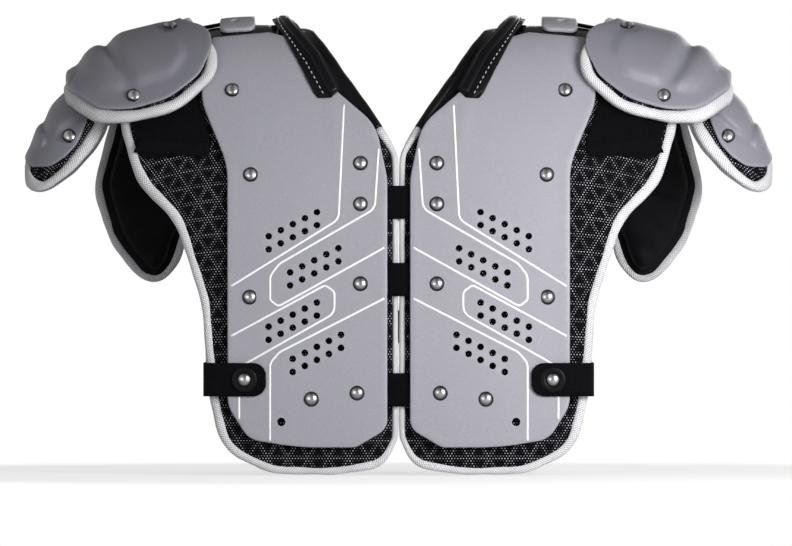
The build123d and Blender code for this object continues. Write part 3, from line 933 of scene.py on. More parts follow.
# %% [markdown]
# ## Soft liner
# Under the plates lies a foam panel faced with spacer mesh. Its edge is pinched inside a
# rolled tape, so the panel is thinner there and swells away from it. A second cushion of
# coated nylon lies against the body, with stitched channels and a gathered side wall. The
# layers lie close together, so formulas swell them here, each within its own room.

# %% Swelling and quilting
PINCH, CUSHION_INSET = 0.62, 11.0
CHANNEL_SHARES, CHANNEL_DEPTH, CHANNEL_WIDTH = (0.22, 0.42, 0.62, 0.82), 2.2, 3.0


def swell(rise, reach, wave=0.0):
    """Relief of a foam panel that is pinched at its edge."""
    def relief(flat, edge, turn):
        up = rise * (1 - np.exp(-(edge / reach) ** 1.5)) - rise
        x, y = flat[:, 0], flat[:, 1]
        ripple = np.sin(x / 23 + 1.7 * np.sin(y / 31)) * np.cos(y / 27 + np.sin(x / 19))
        return up + wave * ripple
    return relief


def quilted(line, rise, reach, channels, gather):
    """Relief of a nylon cushion: crowned, with sewn channels and gathers at its side."""
    def relief(flat, edge, turn):
        up = rise * (np.clip(1 - (1 - np.clip(edge / reach, 0, 1)) ** 2, 0, 1) ** 0.5 - 1)
        for place in channels:
            beside = flat[:, 1] - place - 4 * np.sin(flat[:, 0] / 40)
            seam = np.exp(-(beside / CHANNEL_WIDTH) ** 2) * np.clip(edge / 14, 0, 1)
            up = up - CHANNEL_DEPTH * seam
        _, along = distances(flat, line, True)
        folds = np.sin(along / 3.1 + 1.3 * np.sin(along / 17)) * np.exp(-((edge - 7) / 6) ** 2)
        return up + gather * folds
    return relief


rise_inside = swell(1.6, 9.0)(np.zeros((1, 2)), np.array([30.0]), None)[0]
print("swelling of a liner 30 mm from its edge, below its full height:", round(-rise_inside, 3))

# %% [markdown]
# ## Liners and cushions
# One outline gives all three rims: the liner stops inside its tape, and the cushion is smaller
# again. The liner's faces have three materials: vinyl beside the neck, nylon on the side that
# faces the body, and mesh everywhere else.

# %% Liners and cushions
NECK_WIDTH, NECK_FROM = 96, 255


def neck_or_lining(middles, under):
    """1 on the vinyl beside the neck, 2 on the nylon that faces the body, 0 elsewhere."""
    neck = (middles[:, 0] < NECK_WIDTH) & (middles[:, 2] > NECK_FROM)
    return np.where(neck, 1, np.where(under, 2, 0)).astype(np.int32)


front_rim = soften(lay_out(FRONT_LINER, "front", LINER_MIDDLE), 5)
back_rim = soften(lay_out(BACK_LINER, "back", LINER_MIDDLE), 5)
for name, rim in (("front", front_rim), ("back", back_rim)):
    panel = inset_line(rim, BINDING * PINCH)
    both_sides(f"{name}_liner", shell(panel, LINER_TOP, LINER, spacing=6.0, round_edge=1.2,
                                      relief=swell(1.6, 9.0, 0.45), under=swell(1.0, 9.0)),
               mesh_finish, "torso", [f"{{side}}_{name}_liner"],
               patch=((vinyl_finish, nylon_finish), neck_or_lining))
    cushion = inset_line(rim, CUSHION_INSET)
    low, high = cushion[:, 1].min(), cushion[:, 1].max()
    channels = [low + (high - low) * share for share in CHANNEL_SHARES]
    both_sides(f"{name}_cushion",
               shell(cushion, CUSHION_TOP, CUSHION, spacing=4.0, round_edge=2.5,
                     under=quilted(cushion, 5.0, 16.0, channels, 0.7)),
               nylon_finish, "torso", [f"{{side}}_{name}_cushion"])

# %% [markdown]
# ## Shoulder panel
# A flat panel of black webbing cloth fills the space between the plates and the cap. Its lower
# edge is turned up and sewn, which a low ribbon along that edge shows.

# %% Shoulder panel
FOLD_LINE, FOLD_WIDTH, FOLD_LIFT = [(141, 243, 0), (170, 244.5, 0), (196, 246.5, 0)], 11.0, 0.35
both_sides("shoulder_panel", shell(lay_out(PANEL, "over", UNDER_TOP), UNDER_TOP, UNDER,
                                   spacing=6.0, round_edge=0.8, relief=swell(0.6, 5.0, 0.25)),
           webbing_finish, "torso", ["{side}_shoulder_panel"])
fold = on_front(rounded(FOLD_LINE, 3.0, closed=False), UNDER_TOP)
both_sides("panel_fold", ribbon(fold, FOLD_WIDTH, UNDER_TOP + FOLD_LIFT, 0.6, crown=0.3,
                                columns=9),
           webbing_finish, "torso")

# %% [markdown]
# ## Rolled bindings
# A binding is a folded tape that wraps the panel's edge like a small tube. Its section is a
# ring with flattened sides, carried round the outline, and a little unevenness keeps it from
# looking moulded. Beside the neck the tape is black vinyl, so the rim is cut in two there.

# %% Rolled tape
AROUND, SQUARENESS = 12, 4
NECK_RIM_WIDTH, NECK_RIM_FROM = 82, 262


def tape(line, out, width, thick, form=body_form, closed=True, wobble=0.25, slim=None):
    """Rolled tape along a line on the unrolled arch; slim gives its share of the full width."""
    ahead = np.roll(line, -1, 0) - np.roll(line, 1, 0) if closed else np.gradient(line, axis=0)
    ahead = ahead / (np.linalg.norm(ahead, axis=1)[:, None] + 1e-9)
    side = np.stack([ahead[:, 1], -ahead[:, 0]], 1)
    run = lengths(line)
    uneven = 1 + wobble * 0.25 * (np.sin(run / 5.3) * np.sin(run / 13.7 + 1) + np.sin(run / 29))
    points, uv = [], []
    for k in range(AROUND):
        angle = 2 * pi * k / AROUND
        reach = (abs(cos(angle)) ** SQUARENESS + abs(sin(angle)) ** SQUARENESS) ** (
            -1 / SQUARENESS)
        across = cos(angle) * reach * width / 2 * uneven * (slim(line[:, 0]) if slim else 1)
        lift = sin(angle) * reach * thick / 2 * uneven
        flat = line + side * across[:, None]
        points.append(arch_points(flat[:, 0], turn_at(flat[:, 1], form), out + lift, form))
        uv.append(np.stack([np.full(len(line), (width + thick) * k / AROUND), run], 1))
    return grid_faces(np.array(points), np.array(uv), closed)


def split_neck(line):
    """The closed rim cut into its grey stretch and its black neck stretch, as open lines."""
    heights = arch(line[:, 0], turn_at(line[:, 1], body_form))[:, 2]
    neck = (line[:, 0] < NECK_RIM_WIDTH) & (heights > NECK_RIM_FROM)
    start = next(i for i in range(len(line)) if neck[i - 1] and not neck[i])
    order = [(start + k) % len(line) for k in range(len(line))]
    grey = [i for i in order if not neck[i]]
    black = [i for i in order if neck[i]]
    return line[grey], line[[grey[-1]] + black + [grey[0]]]


print("faces of a tape round the square:", len(tape(square, 0.0, RIM, RIM)[1]))

# %% [markdown]
# ## Bindings of the liners
# Where the two halves meet at the breastbone and the spine, their tapes press each other flat.
# So the tape gets narrower there, and its line moves towards the centre by half of what it
# lost, which keeps its outer edge in place. The arm cup's tape gets narrower at the cup's tip.

# %% Liner bindings
def slim_at_centre(width):
    """The two halves' tapes are squeezed flat where they meet."""
    return 0.62 + 0.38 * np.clip((width - 5) / 10, 0, 1)


def hug_centre(line):
    """The line of a slimmed tape, moved so that its outer edge stays where it was."""
    moved = line.copy()
    moved[:, 0] -= (1 - slim_at_centre(line[:, 0])) * BINDING / 2
    return moved


def slim_at_tip(width):
    return 1 - 0.5 * np.clip((width - 272) / 8, 0, 1)


neck_parts = []
for name, rim in (("front", front_rim), ("back", back_rim)):
    middle = inset_line(rim, BINDING / 2)
    grey, black = split_neck(middle)
    both_sides(f"{name}_binding", tape(hug_centre(grey), LINER_MIDDLE, BINDING, LINER * 0.86,
                                       closed=False, slim=slim_at_centre),
               binding_finish, "torso", [f"{{side}}_{name}_binding"])
    neck_parts.append(tape(black, LINER_MIDDLE, BINDING * 1.15, LINER * 0.9, closed=False))


def joined(*parts):
    """Several pieces' points and faces as one."""
    points, faces, uv, edge, start = [], [], [], [], 0
    for p, f, u, e in parts:
        points.append(p), uv.append(u), edge.append(e)
        faces += [tuple(int(i) + start for i in face) for face in f]
        start += len(p)
    return np.concatenate(points), faces, np.concatenate(uv), np.concatenate(edge)


both_sides("neck_lining", joined(*neck_parts), vinyl_finish, "torso",
           ["{side}_neck_lining"])

# %% [markdown]
# ## Bridge and tab
# A glossy strip bridges the gap between the front and back plates at the top of the shoulder.
# The tab on it holds the cap's strap, and it has a hole at each end. A shell whose outline runs
# over the ridge gives each of them in one piece.

# %% Shoulder top
ridge_run = RUNS[body_form][-1] / 2
RIB_AT, RIB_WIDTH, RIB_RISE = 119.0, 9.0, 0.8
TAB_FROM, TAB_TO, TAB_HALF, TAB_CORNER, TAB_BOW = 108.0, 134.5, 38.5, 7.0, 2.2
TAB_HOLE_AT, TAB_HOLE, TAB_HOLE_RADIUS = 123.0, 23.0, 3.75


def bridge_rib(flat, edge, turn):
    """A low rib along the middle of the bridge."""
    return RIB_RISE * np.exp(-((flat[:, 0] - RIB_AT) / RIB_WIDTH) ** 2)


def tab_arch(flat, edge, turn):
    """The tab bows up over the ridge."""
    return TAB_BOW * (1 - ((flat[:, 1] - ridge_run) / TAB_HALF) ** 2)


both_sides("shoulder_bridge", shell(lay_out(BRIDGE, "over", UNDER_TOP), UNDER_TOP, UNDER,
                                    spacing=5.0, relief=bridge_rib),
           gloss_finish, "torso", ["{side}_shoulder_bridge"])
tab_edge = rounded([(width, ridge_run + end * TAB_HALF, TAB_CORNER) for width, end in
                    ((TAB_FROM, -1), (TAB_TO, -1), (TAB_TO, 1), (TAB_FROM, 1))], 2.0)[:-1]
tab_holes = [(TAB_HOLE_AT, ridge_run + end * TAB_HOLE, TAB_HOLE_RADIUS) for end in (-1, 1)]
both_sides("bridge_tab", shell(tab_edge, 1.4, 3.4, spacing=4.0, round_edge=1.2,
                               relief=tab_arch, holes=tab_holes),
           plate_finish, "torso", ["{side}_bridge_tab"])

# %% [markdown]
# ## Collar trim
# Padded vinyl is folded over the plates' neck edge. The fold puckers a little at its seam, and
# a roll of piping runs along its inner edge, which is a rolled tape like the bindings.

# %% Collar trim
def puckered(flat, edge, turn):
    """The trim's padding, with small puckers along its edge."""
    padding = 0.9 * (1 - np.exp(-(edge / 4.0) ** 2))
    return padding + 0.25 * np.sin(flat[:, 1] / 4.7) * np.clip(1 - edge / 5, 0, 1)


both_sides("collar_trim", shell(lay_out(TRIM_EDGE, "over", TRIM), FIT + TRIM, TRIM, spacing=3.0,
                                round_edge=0.8, relief=puckered),
           vinyl_finish, "torso", ["{side}_collar_trim"])


def over_path(corners, out, step=3.0):
    """Open line over the ridge: its front half from front-view corners, then its mirror."""
    line = rounded(corners, step, closed=False)
    run, over = run_at_height(line[:, 0], line[:, 1], out, body_form)
    front = np.stack([line[:, 0], run], 1)[~over]
    rear = np.stack([front[:, 0], 2 * ridge_run - front[:, 1]], 1)[::-1]
    return np.concatenate([front, rear])


roll = over_path([(48.5, 286, 0), (64, 315, 30), (83, 337, 20), (86.5, 342.5, 0)], TRIM)
both_sides("collar_roll", tape(roll, TRIM + FIT + 0.7, 7.5, 3.4, closed=False, wobble=0.15),
           vinyl_finish, "torso")

# %% [markdown]
# ## Ties
# Three flat webbing ties join the halves on the chest and two on the back. A level ribbon makes
# each of them. It bulges a little at the centre, where nothing holds it down.

# %% Ties
def level_path(width_from, width_to, height, front=True, step=3.0):
    """A level line round the body, on the unrolled arch."""
    width = np.linspace(width_from, width_to, max(2, round((width_to - width_from) / step)))
    run = run_at_height(width, np.full(len(width), height), 0.0, body_form)[0]
    return np.stack([width, run if front else RUNS[body_form][-1] - run], 1)


TIES = (("lower_front_tie", 64.0, True), ("middle_front_tie", 146.5, True),
        ("upper_front_tie", 204.5, True), ("lower_back_tie", 110.0, False),
        ("upper_back_tie", 204.0, False))
STRAP, TIE_REACH, BULGE, BULGE_WIDTH = 25.0, 38, 1.1, 5.5
for tie, height, front in TIES:
    points, faces, uv, edge = ribbon(level_path(-TIE_REACH, TIE_REACH, height, front), STRAP,
                                     UNDER_TOP, UNDER, columns=7)
    bulge = BULGE * np.exp(-(points[:, 0] / BULGE_WIDTH) ** 2)
    points = points + np.stack([0 * bulge, bulge * (-1 if front else 1), 0 * bulge], 1)
    piece = mesh_object(tie + "_web", points, faces, uv, edge)
    piece.data.materials.append(webbing_finish)
    settle(piece, "left", "torso", [tie])
print("ties:", len(TIES))

# %% [markdown]
# ## Moulded pillows
# The shells of the caps and cups swell into pillows with grooves between them. Each pillow is an
# outline of its own, and the relief rises inside it. Sculpting could do the same, but a formula
# keeps both halves alike. The shell stays flat round each rivet, where it is clamped.

# %% Moulded pillows
SEAT_RADIUS, SEAT_FADE, PILLOW_POWER = 5.5, 4.0, 0.7


def pillows(outlines, lift, reach, rivets, out, form, rise=None):
    """Relief of a moulded shell: raised inside each outline, level round each rivet."""
    lines = [lay_out(o, "over", out, form, step=2.0) for o in outlines]
    widths, heights = np.array(rivets).T
    front_runs = run_at_height(widths, heights, out, form)[0]
    spots = [(w, run) for w, base in zip(widths, front_runs)
             for run in (base, RUNS[form][-1] - base)]

    def relief(flat, edge, turn):
        up = np.zeros(len(flat))
        for line in lines:
            depth = np.clip(distances(flat, line) / reach, 0, 1)
            pillow = lift * (depth * (2 - depth)) ** PILLOW_POWER
            up = np.maximum(up, np.where(inside(flat, line), pillow, 0))
        for w, run in spots:
            away = np.hypot(flat[:, 0] - w, flat[:, 1] - run) - SEAT_RADIUS
            up = up * np.clip(away / SEAT_FADE, 0, 1)
        if rise:
            up = rise(flat[:, 0], turn, up)
        return up + 0.3 * np.exp(-(edge / 3.0) ** 2)
    return relief


def cap_rise(width, turn, up):
    """The cap is low beside the neck, arches up towards the arm and drops at its outer edge."""
    top = np.exp(-((turn - 90) / 26) ** 2)
    neck = np.clip(1 - (width - 172) / 36, 0, 1)
    arm = np.clip((width - 188) / 50, 0, 1) ** 1.3 * (1 - 0.8 * np.clip((width - 240) / 8, 0, 1))
    return up * (1 - 0.85 * top * neck) + top * (5.0 * arm - 1.8 * neck)


CAP_RIVETS, CUP_RIVETS = ((198.0, 284.0), (172.0, 337.0)), ((247.0, 254.0),)
print("rivets on a cap's front:", len(CAP_RIVETS), "and on a cup's:", len(CUP_RIVETS))

# %% [markdown]
# ## Shoulder caps
# A cap is a moulded shell over a bound pad, and it lifts with the arm. It has three pillows: a
# big one over the shoulder and two narrower ones towards the arm. The shell also bows up
# towards the arm and stays low beside the neck.

# %% Shoulder caps
PAD_INSET, PAD_BULGE = RIM * 0.7, 0.8
CAP_PILLOWS = (
    [(222, 440, 2), (222, 325, 6), (209, 305, 12), (199, 292, 7), (192, 292, 6), (169, 299, 14),
     (158, 315, 10), (162, 327, 8), (172, 341, 6), (172, 440, 2)],
    [(241, 440, 2), (241, 311, 6), (237, 297, 8), (231, 290.5, 6), (223, 287.5, 8),
     (211, 287, 4), (203, 291, 4), (213, 304, 12), (226, 323, 6), (226, 440, 2)],
    [(262, 440, 2), (262, 300, 4), (250, 293, 4), (243, 296, 4), (245.5, 308, 6),
     (245.5, 440, 2)])


def bound_pad(name, rim, top, thick, form, body, spacing, slim=None):
    """A foam pad and the tape round its edge."""
    both_sides(f"{name}_pad", shell(inset_line(rim, PAD_INSET), top - PAD_BULGE,
                                    thick - 2 * PAD_BULGE, form, spacing=spacing, round_edge=1.5,
                                    relief=swell(1.2, 7.0, 0.2), under=swell(0.8, 7.0)),
               mesh_finish, body, [f"{{side}}_{name}_pad"])
    both_sides(f"{name}_binding", tape(inset_line(rim, RIM / 2), top - thick / 2, RIM,
                                       thick * 0.95, form, slim=slim),
               binding_finish, body, [f"{{side}}_{name}_binding"])


cap_line = soften(lay_out(CAP, "over", CAP_TOP), 4)
both_sides("epaulet_shell", shell(cap_line, CAP_TOP, CAP_SHELL, spacing=3.6, round_edge=1.2,
                                  relief=pillows(CAP_PILLOWS, 5.0, 9.0, CAP_RIVETS, CAP_TOP,
                                                 body_form, cap_rise)),
           cap_finish, "{side}_epaulet", ["{side}_epaulet_shell"])
cap_rim = soften(lay_out(CAP_RIM, "over", CAP_PAD_TOP), 6)
bound_pad("epaulet", cap_rim, CAP_PAD_TOP, CAP_PAD, body_form, "{side}_epaulet", 5.0)

# %% [markdown]
# ## Arm cups
# The cup hangs below the cap and guards the upper arm. It's made in the same way on a smaller
# arch of its own, with two pillows, and its rim tapers towards the tip.

# %% Arm cups
CUP_PILLOWS = (
    [(238, 440, 2), (238, 270, 8), (246, 263, 8), (260, 252, 8), (266, 262, 4), (266, 440, 2)],
    [(269, 440, 2), (269, 262, 4), (264, 249, 6), (271, 242, 6), (277, 247, 5), (277, 440, 2)])
cup_line = soften(lay_out(CUP, "over", 0.0, cup_form), 2)
both_sides("cup_shell", shell(cup_line, 0.0, CAP_SHELL, cup_form, spacing=2.0, round_edge=1.2,
                              relief=pillows(CUP_PILLOWS, 4.2, 5.5, CUP_RIVETS, 0.0, cup_form)),
           cap_finish, "{side}_arm_cup", ["{side}_cup_shell"])
cup_rim = soften(lay_out(CUP_RIM, "over", 0.0, cup_form), 4)
bound_pad("cup", cup_rim, CUP_PAD_TOP, CUP_PAD, cup_form, "{side}_arm_cup", 4.0, slim_at_tip)

# %% [markdown]
# ## Bands that bend
# A band is a strip whose centre line lies in space and not on the arch.

# %% Bands that bend
def band(centre, width_axis, width, thick, columns=7):
    """Flat band along a centre line in space: width_axis is the band's width direction."""
    centre = np.array(centre, float)
    ahead = np.gradient(centre, axis=0)
    ahead /= np.linalg.norm(ahead, axis=1)[:, None]
    across = np.broadcast_to(np.array(width_axis, float), centre.shape)
    out = np.cross(ahead, across)
    run = lengths(centre)
    section = flat_section(columns, lambda at: 0.5, -0.5)
    points = np.array([centre + across * width * s + out * thick * t for s, t in section])
    uv = np.array([np.stack([np.full(len(centre), width * s), run], 1) for s, t in section])
    return grid_faces(points, uv)


def bending(name, build, material, nodes):
    """A mirrored pair of pieces between two bodies, baked in place and attached to neither."""
    for side, sign in SIDES:
        piece = side_piece(side, sign, name, build, material)
        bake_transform(piece)
        settle(piece, side, None, nodes)
    print(name, len(build[1]), "faces a side")


short_band = band([(0, 0, 0), (0, 50, 0), (0, 100, 0)], (0, 0, 1), STRAP, WEBBING)
print("points in a band with two steps:", len(short_band[0]))

# %% [markdown]
# ## Side straps
# Each side strap is one webbing band from the chest plate round to the back. Its front end lies
# on the plate and is cut round, and its rear end reaches the steel hook. In use it folds where
# it leaves the chest, so that is where it bends.

# %% Side straps
TAB_LIFT, END_WIDTH, END_LENGTH = 1.4, 0.25, 10
STRAP_HEIGHT, STRAP_START, TURN_WIDTH, HOOK_END = 71.5, 99.0, 144.8, 106.0
REAR_FACE = 115.5


def round_route(corners, step=2.5):
    """A level line in plan with rounded corners, as points in space."""
    flat = rounded(corners, step, closed=False)
    return np.column_stack([flat, np.full(len(flat), STRAP_HEIGHT)])


def chest_face(width, out):
    """Depth of a layer on the chest at the side strap's height."""
    heights = np.full(len(width), STRAP_HEIGHT)
    turn = turn_at(run_at_height(width, heights, out, body_form)[0], body_form)
    return arch(width, turn, out, body_form)[:, 1]


tab_widths = np.linspace(STRAP_START, 136, 26)
tab_corners = [(w, d, 0) for w, d in zip(tab_widths, chest_face(tab_widths, TAB_LIFT))]
route = round_route(tab_corners + [(TURN_WIDTH, -109.6, 9), (TURN_WIDTH, REAR_FACE, 9),
                                   (HOOK_END - 1, REAR_FACE, 0)])
strap_points, strap_faces, strap_uv, strap_edge = band(route, (0, 0, 1), STRAP, WEBBING)
rounding = np.clip((strap_points[:, 0] - STRAP_START + 0.2) / END_LENGTH, 0, 1)
front_end = strap_points[:, 1] < 0
round_end = np.sqrt(rounding * (2 - rounding)) * (1 - END_WIDTH) + END_WIDTH
squeeze = np.where(front_end, round_end, 1.0)
strap_points[:, 2] = STRAP_HEIGHT + (strap_points[:, 2] - STRAP_HEIGHT) * squeeze
bending("side_strap", (strap_points, strap_faces, strap_uv, strap_edge), webbing_finish,
        ["{side}_side_strap_tab", "{side}_side_strap"])

# %% [markdown]
# ## Hinge straps
# A webbing band over the ridge hinges the cap to the body, and another hinges the cup to the
# cap. They are hidden in use, but they have to bend when the cap lifts, like the side strap.

# %% Hinge straps
def over_ridge(widths, half, out, step=3.0, form=body_form):
    """Band over the ridge of the arch: rows across its width, each at its own offset."""
    middle = RUNS[form][-1] / 2
    rows = np.linspace(widths[0], widths[1], max(2, round((widths[1] - widths[0]) / step)))
    offset = np.interp(rows, *zip(*out))
    points, uv = [], []
    for share, lift in flat_section(9, lambda at: 0.0, -WEBBING):
        beside = 2 * half * share
        turn = turn_at(np.full(len(rows), middle + beside), form)
        points.append(arch_points(rows, turn, offset + lift, form))
        uv.append(np.stack([np.full(len(rows), beside), rows], 1))
    return grid_faces(np.array(points), np.array(uv))


bending("epaulet_hinge_strap",
        over_ridge((131, 186), 16.0, ((131, 0.9), (138, 0.4), (186, 0.1))),
        webbing_finish,
        ["{side}_epaulet_hinge_strap"])
bending("cup_hinge_strap", over_ridge((225, 245.5), 12.0, ((225, 2.4), (245.5, 2.4)),
                                      form=cup_form),
        webbing_finish,
        ["{side}_cup_hinge_strap"])

# %% [markdown]
# ## Hooks and studs
# The steel hook at the strap's rear end and the stud that it catches are simple bent and turned
# metal. Their solids already have the right shape, so only their materials are new.

# %% Steel parts
def repaint(node, material):
    """Give a CAD node a node-based material."""
    piece = frame["nodes"][node]
    piece.data.materials.clear()
    piece.data.materials.append(material)


for side, _ in SIDES:
    repaint(f"{side}_side_hook", hook_finish)
repaint("hook_studs", rivet_finish)
print("repainted nodes:", len(SIDES) + 1)

# %% [markdown]
# ## A node group for repeats
# Rivets and stitches are one small shape set at many places. Each place is a vertex that carries
# two directions: `away` points out of the surface and `heading` lies along it. A Geometry Nodes
# group puts the shape there, turned by both, and varies its size a little from a fixed seed.

# %% Node group for repeats
GROUP_INPUTS = (("Geometry", "Geometry"), ("Shape", "Object"), ("Size", "Float"),
                ("Size spread", "Float"), ("Seed", "Int"), ("Finish", "Material"))


def scatter_group():
    """Node group: instances of an object on points, turned to each point's two directions."""
    group = bpy.data.node_groups.new("set_on_points", "GeometryNodeTree")
    face = group.interface
    for title, kind in GROUP_INPUTS:
        face.new_socket(title, in_out="INPUT", socket_type="NodeSocket" + kind)
    face.new_socket("Geometry", in_out="OUTPUT", socket_type="NodeSocketGeometry")
    nodes, links = group.nodes, group.links
    start, end = nodes.new("NodeGroupInput"), nodes.new("NodeGroupOutput")
    shape = nodes.new("GeometryNodeObjectInfo")
    place = nodes.new("GeometryNodeInstanceOnPoints")
    along, heading = (nodes.new("GeometryNodeInputNamedAttribute") for _ in range(2))
    for reader, attribute in ((along, "away"), (heading, "heading")):
        reader.data_type = "FLOAT_VECTOR"
        reader.inputs["Name"].default_value = attribute
    turn = nodes.new("FunctionNodeAlignRotationToVector")
    turn.axis = "Z"
    turn_along = nodes.new("FunctionNodeAlignRotationToVector")
    turn_along.axis, turn_along.pivot_axis = "X", "Z"
    low, high = nodes.new("ShaderNodeMath"), nodes.new("ShaderNodeMath")
    low.operation, high.operation = "SUBTRACT", "ADD"
    varied = nodes.new("FunctionNodeRandomValue")
    realize = nodes.new("GeometryNodeRealizeInstances")
    finish = nodes.new("GeometryNodeSetMaterial")
    random_ins = [s for s in varied.inputs if s.type == "VALUE" and s.enabled]
    for a, b in ((start.outputs["Geometry"], place.inputs["Points"]),
                 (start.outputs["Shape"], shape.inputs["Object"]),
                 (shape.outputs["Geometry"], place.inputs["Instance"]),
                 (along.outputs["Attribute"], turn.inputs["Vector"]),
                 (turn.outputs["Rotation"], turn_along.inputs["Rotation"]),
                 (heading.outputs["Attribute"], turn_along.inputs["Vector"]),
                 (turn_along.outputs["Rotation"], place.inputs["Rotation"]),
                 (start.outputs["Size"], low.inputs[0]),
                 (start.outputs["Size spread"], low.inputs[1]),
                 (start.outputs["Size"], high.inputs[0]),
                 (start.outputs["Size spread"], high.inputs[1]),
                 (low.outputs[0], random_ins[0]), (high.outputs[0], random_ins[1]),
                 (start.outputs["Seed"], varied.inputs["Seed"]),
                 (varied.outputs[1], place.inputs["Scale"]),
                 (place.outputs["Instances"], realize.inputs["Geometry"]),
                 (realize.outputs["Geometry"], finish.inputs["Geometry"]),
                 (start.outputs["Finish"], finish.inputs["Material"]),
                 (finish.outputs["Geometry"], end.inputs["Geometry"])):
        links.new(a, b)
    return group


SCATTER = scatter_group()
SCATTER_SOCKETS = {s.name: s.identifier for s in SCATTER.interface.items_tree
                   if s.item_type == "SOCKET" and s.in_out == "INPUT"}
print("inputs of the group:", ", ".join(SCATTER_SOCKETS))

# %% [markdown]
# ## Setting and baking
# The group works on a host mesh that has only the places. Its result is copied into a plain
# mesh, one for each body, and the host goes away, so nothing live is left to export. The small
# shape itself is turned from a profile, as on a lathe, and kept out of the picture.

# %% Setting and baking
SIZE_SPREAD, SCATTER_SEED = 0.02, 3
# Painted reflection on the domes: the painted dark band starts this far from the axis and is full
# this much further out, in mm.
PAINTED_REFLECTION_START, PAINTED_REFLECTION_FADE = 2.9, 1.9


def repeat(name, shape, places, away, heading, material, slot, body, nodes=()):
    """Set one shape at many places and bake the result into one mesh riding one body."""
    host = mesh_object(name + "_places", places, [])
    for key, values in (("away", away), ("heading", heading)):
        host.data.attributes.new(key, "FLOAT_VECTOR", "POINT").data.foreach_set(
            "vector", np.asarray(values, np.float32).ravel())
    modifier = host.modifiers.new("Set on points", "NODES")
    modifier.node_group = SCATTER
    for title, value in (("Shape", shape), ("Size", 1.0), ("Size spread", SIZE_SPREAD),
                         ("Seed", SCATTER_SEED), ("Finish", material)):
        modifier[SCATTER_SOCKETS[title]] = value
    bpy.context.view_layer.update()
    seen = host.evaluated_get(bpy.context.evaluated_depsgraph_get())
    piece = bpy.data.objects.new(name, bpy.data.meshes.new_from_object(seen))
    bpy.context.scene.collection.objects.link(piece)
    piece.data.polygons.foreach_set("use_smooth", np.ones(len(piece.data.polygons), bool))
    bpy.data.objects.remove(host)
    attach(piece, body)
    if nodes:
        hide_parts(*nodes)
    return piece


def turned_shape(name, profile, sides=28):
    """A turned part from (radius, height) pairs in millimetres, kept out of the picture."""
    rings = np.array([[(r * cos(2 * pi * k / sides), r * sin(2 * pi * k / sides), z)
                       for k in range(sides)] for r, z in profile])
    index = np.arange(len(profile) * sides).reshape(len(profile), sides)
    faces = [(index[i, k], index[i, (k + 1) % sides], index[i + 1, (k + 1) % sides],
              index[i + 1, k]) for i in range(len(profile) - 1) for k in range(sides)]
    faces += [tuple(index[0][::-1]), tuple(index[-1])]
    shape = mesh_object(name, rings.reshape(-1, 3), faces)
    # The `rim` attribute marks where a chrome dome's colour is painted dark, as a painted
    # reflection.
    away = np.linalg.norm(rings.reshape(-1, 3)[:, :2], axis=1)
    shape.data.attributes.new("rim", "FLOAT", "POINT").data.foreach_set(
        "value", np.clip((away - PAINTED_REFLECTION_START) / PAINTED_REFLECTION_FADE, 0, 1).astype(np.float32))
    shape.hide_render = True
    return shape


DOME = turned_shape("rivet_shape", [(3.0, -0.6), (4.5, -0.3), (4.95, 0.15), (4.9, 0.6),
                                    (4.45, 1.25), (3.6, 1.85), (2.4, 2.35), (1.2, 2.58),
                                    (0.05, 2.64)])
SEAT = turned_shape("seat_shape", [(4.8, -0.4), (5.5, -0.1), (5.65, 0.1), (5.5, 0.25),
                                   (4.8, 0.3), (4.3, 0.1)])
WASHER = turned_shape("washer_shape", [(8.6, -0.3), (9.3, 0.0), (9.4, 0.5), (9.1, 0.95),
                                       (8.4, 1.15), (6.5, 1.2), (5.5, 0.9), (4.5, 0.6)])
print("faces of a rivet's dome:", len(DOME.data.polygons))

# %% [markdown]
# ## Rivets
# A rivet is a chromed dome in a dark seat. Rivets hold the plates, the shells of the caps and
# cups, and the front ends of the side straps. Those on a cap or cup have to ride with it. A
# side strap's rivet has a wide vinyl washer under it.

# %% Rivets
RIVET_LIFT, WASHER_LIFT, WASHER_RIVET_LIFT, STRAP_RIVET = 0.05, 2.45, 3.6, (115.0, 71.5)


def surface_spots(spots, out, form=body_form, rear=False):
    """Places, outward directions and headings for (width, height) spots on the arch."""
    spots = np.array(spots, float)
    run = run_at_height(spots[:, 0], spots[:, 1], out, form)[0]
    turn = turn_at(run, form)
    turn = 180 - turn if rear else turn
    base, lifted = arch(spots[:, 0], turn, out, form), arch(spots[:, 0], turn, out + 1, form)
    return base, lifted - base, np.tile([1.0, 0, 0], (len(spots), 1))


def mirrored(base, away, heading):
    """The same places on both halves."""
    flip = np.array([-1, 1, 1])
    return tuple(np.concatenate([a, a * flip]) for a in (base, away, heading))


def gathered(*groups):
    return tuple(np.concatenate(parts) for parts in zip(*groups))


FRONT_RIVETS = ((124.5, 288.0), (110.5, 224.5), (28.5, 233.0), (28.5, 202.5), (111.0, 133.0),
                (28.5, 143.0), (31.0, 61.5), (65.0, 57.0))
BACK_RIVETS = ((124.5, 288.0), (110.5, 224.5), (28.5, 204.0), (28.5, 110.0), (111.0, 133.0),
               (65.0, 57.0))
plate_spots = gathered(mirrored(*surface_spots(FRONT_RIVETS, RIVET_LIFT)),
                       mirrored(*surface_spots(BACK_RIVETS, RIVET_LIFT, rear=True)))
repeat("plate_rivets_dome", DOME, *plate_spots, rivet_finish, "rivet_chrome", "torso",
       ["plate_rivets"])
repeat("plate_rivets_seat", SEAT, *plate_spots, gloss_finish, "bridge_gloss", "torso")
strap_spot = mirrored(*surface_spots([STRAP_RIVET], WASHER_LIFT))
repeat("strap_rivets_washer", WASHER, *strap_spot, vinyl_finish, "black_vinyl", "torso")
high_spot = mirrored(*surface_spots([STRAP_RIVET], WASHER_RIVET_LIFT))
repeat("strap_rivets_dome", DOME, *high_spot, rivet_finish, "rivet_chrome", "torso",
       ["strap_rivets"])
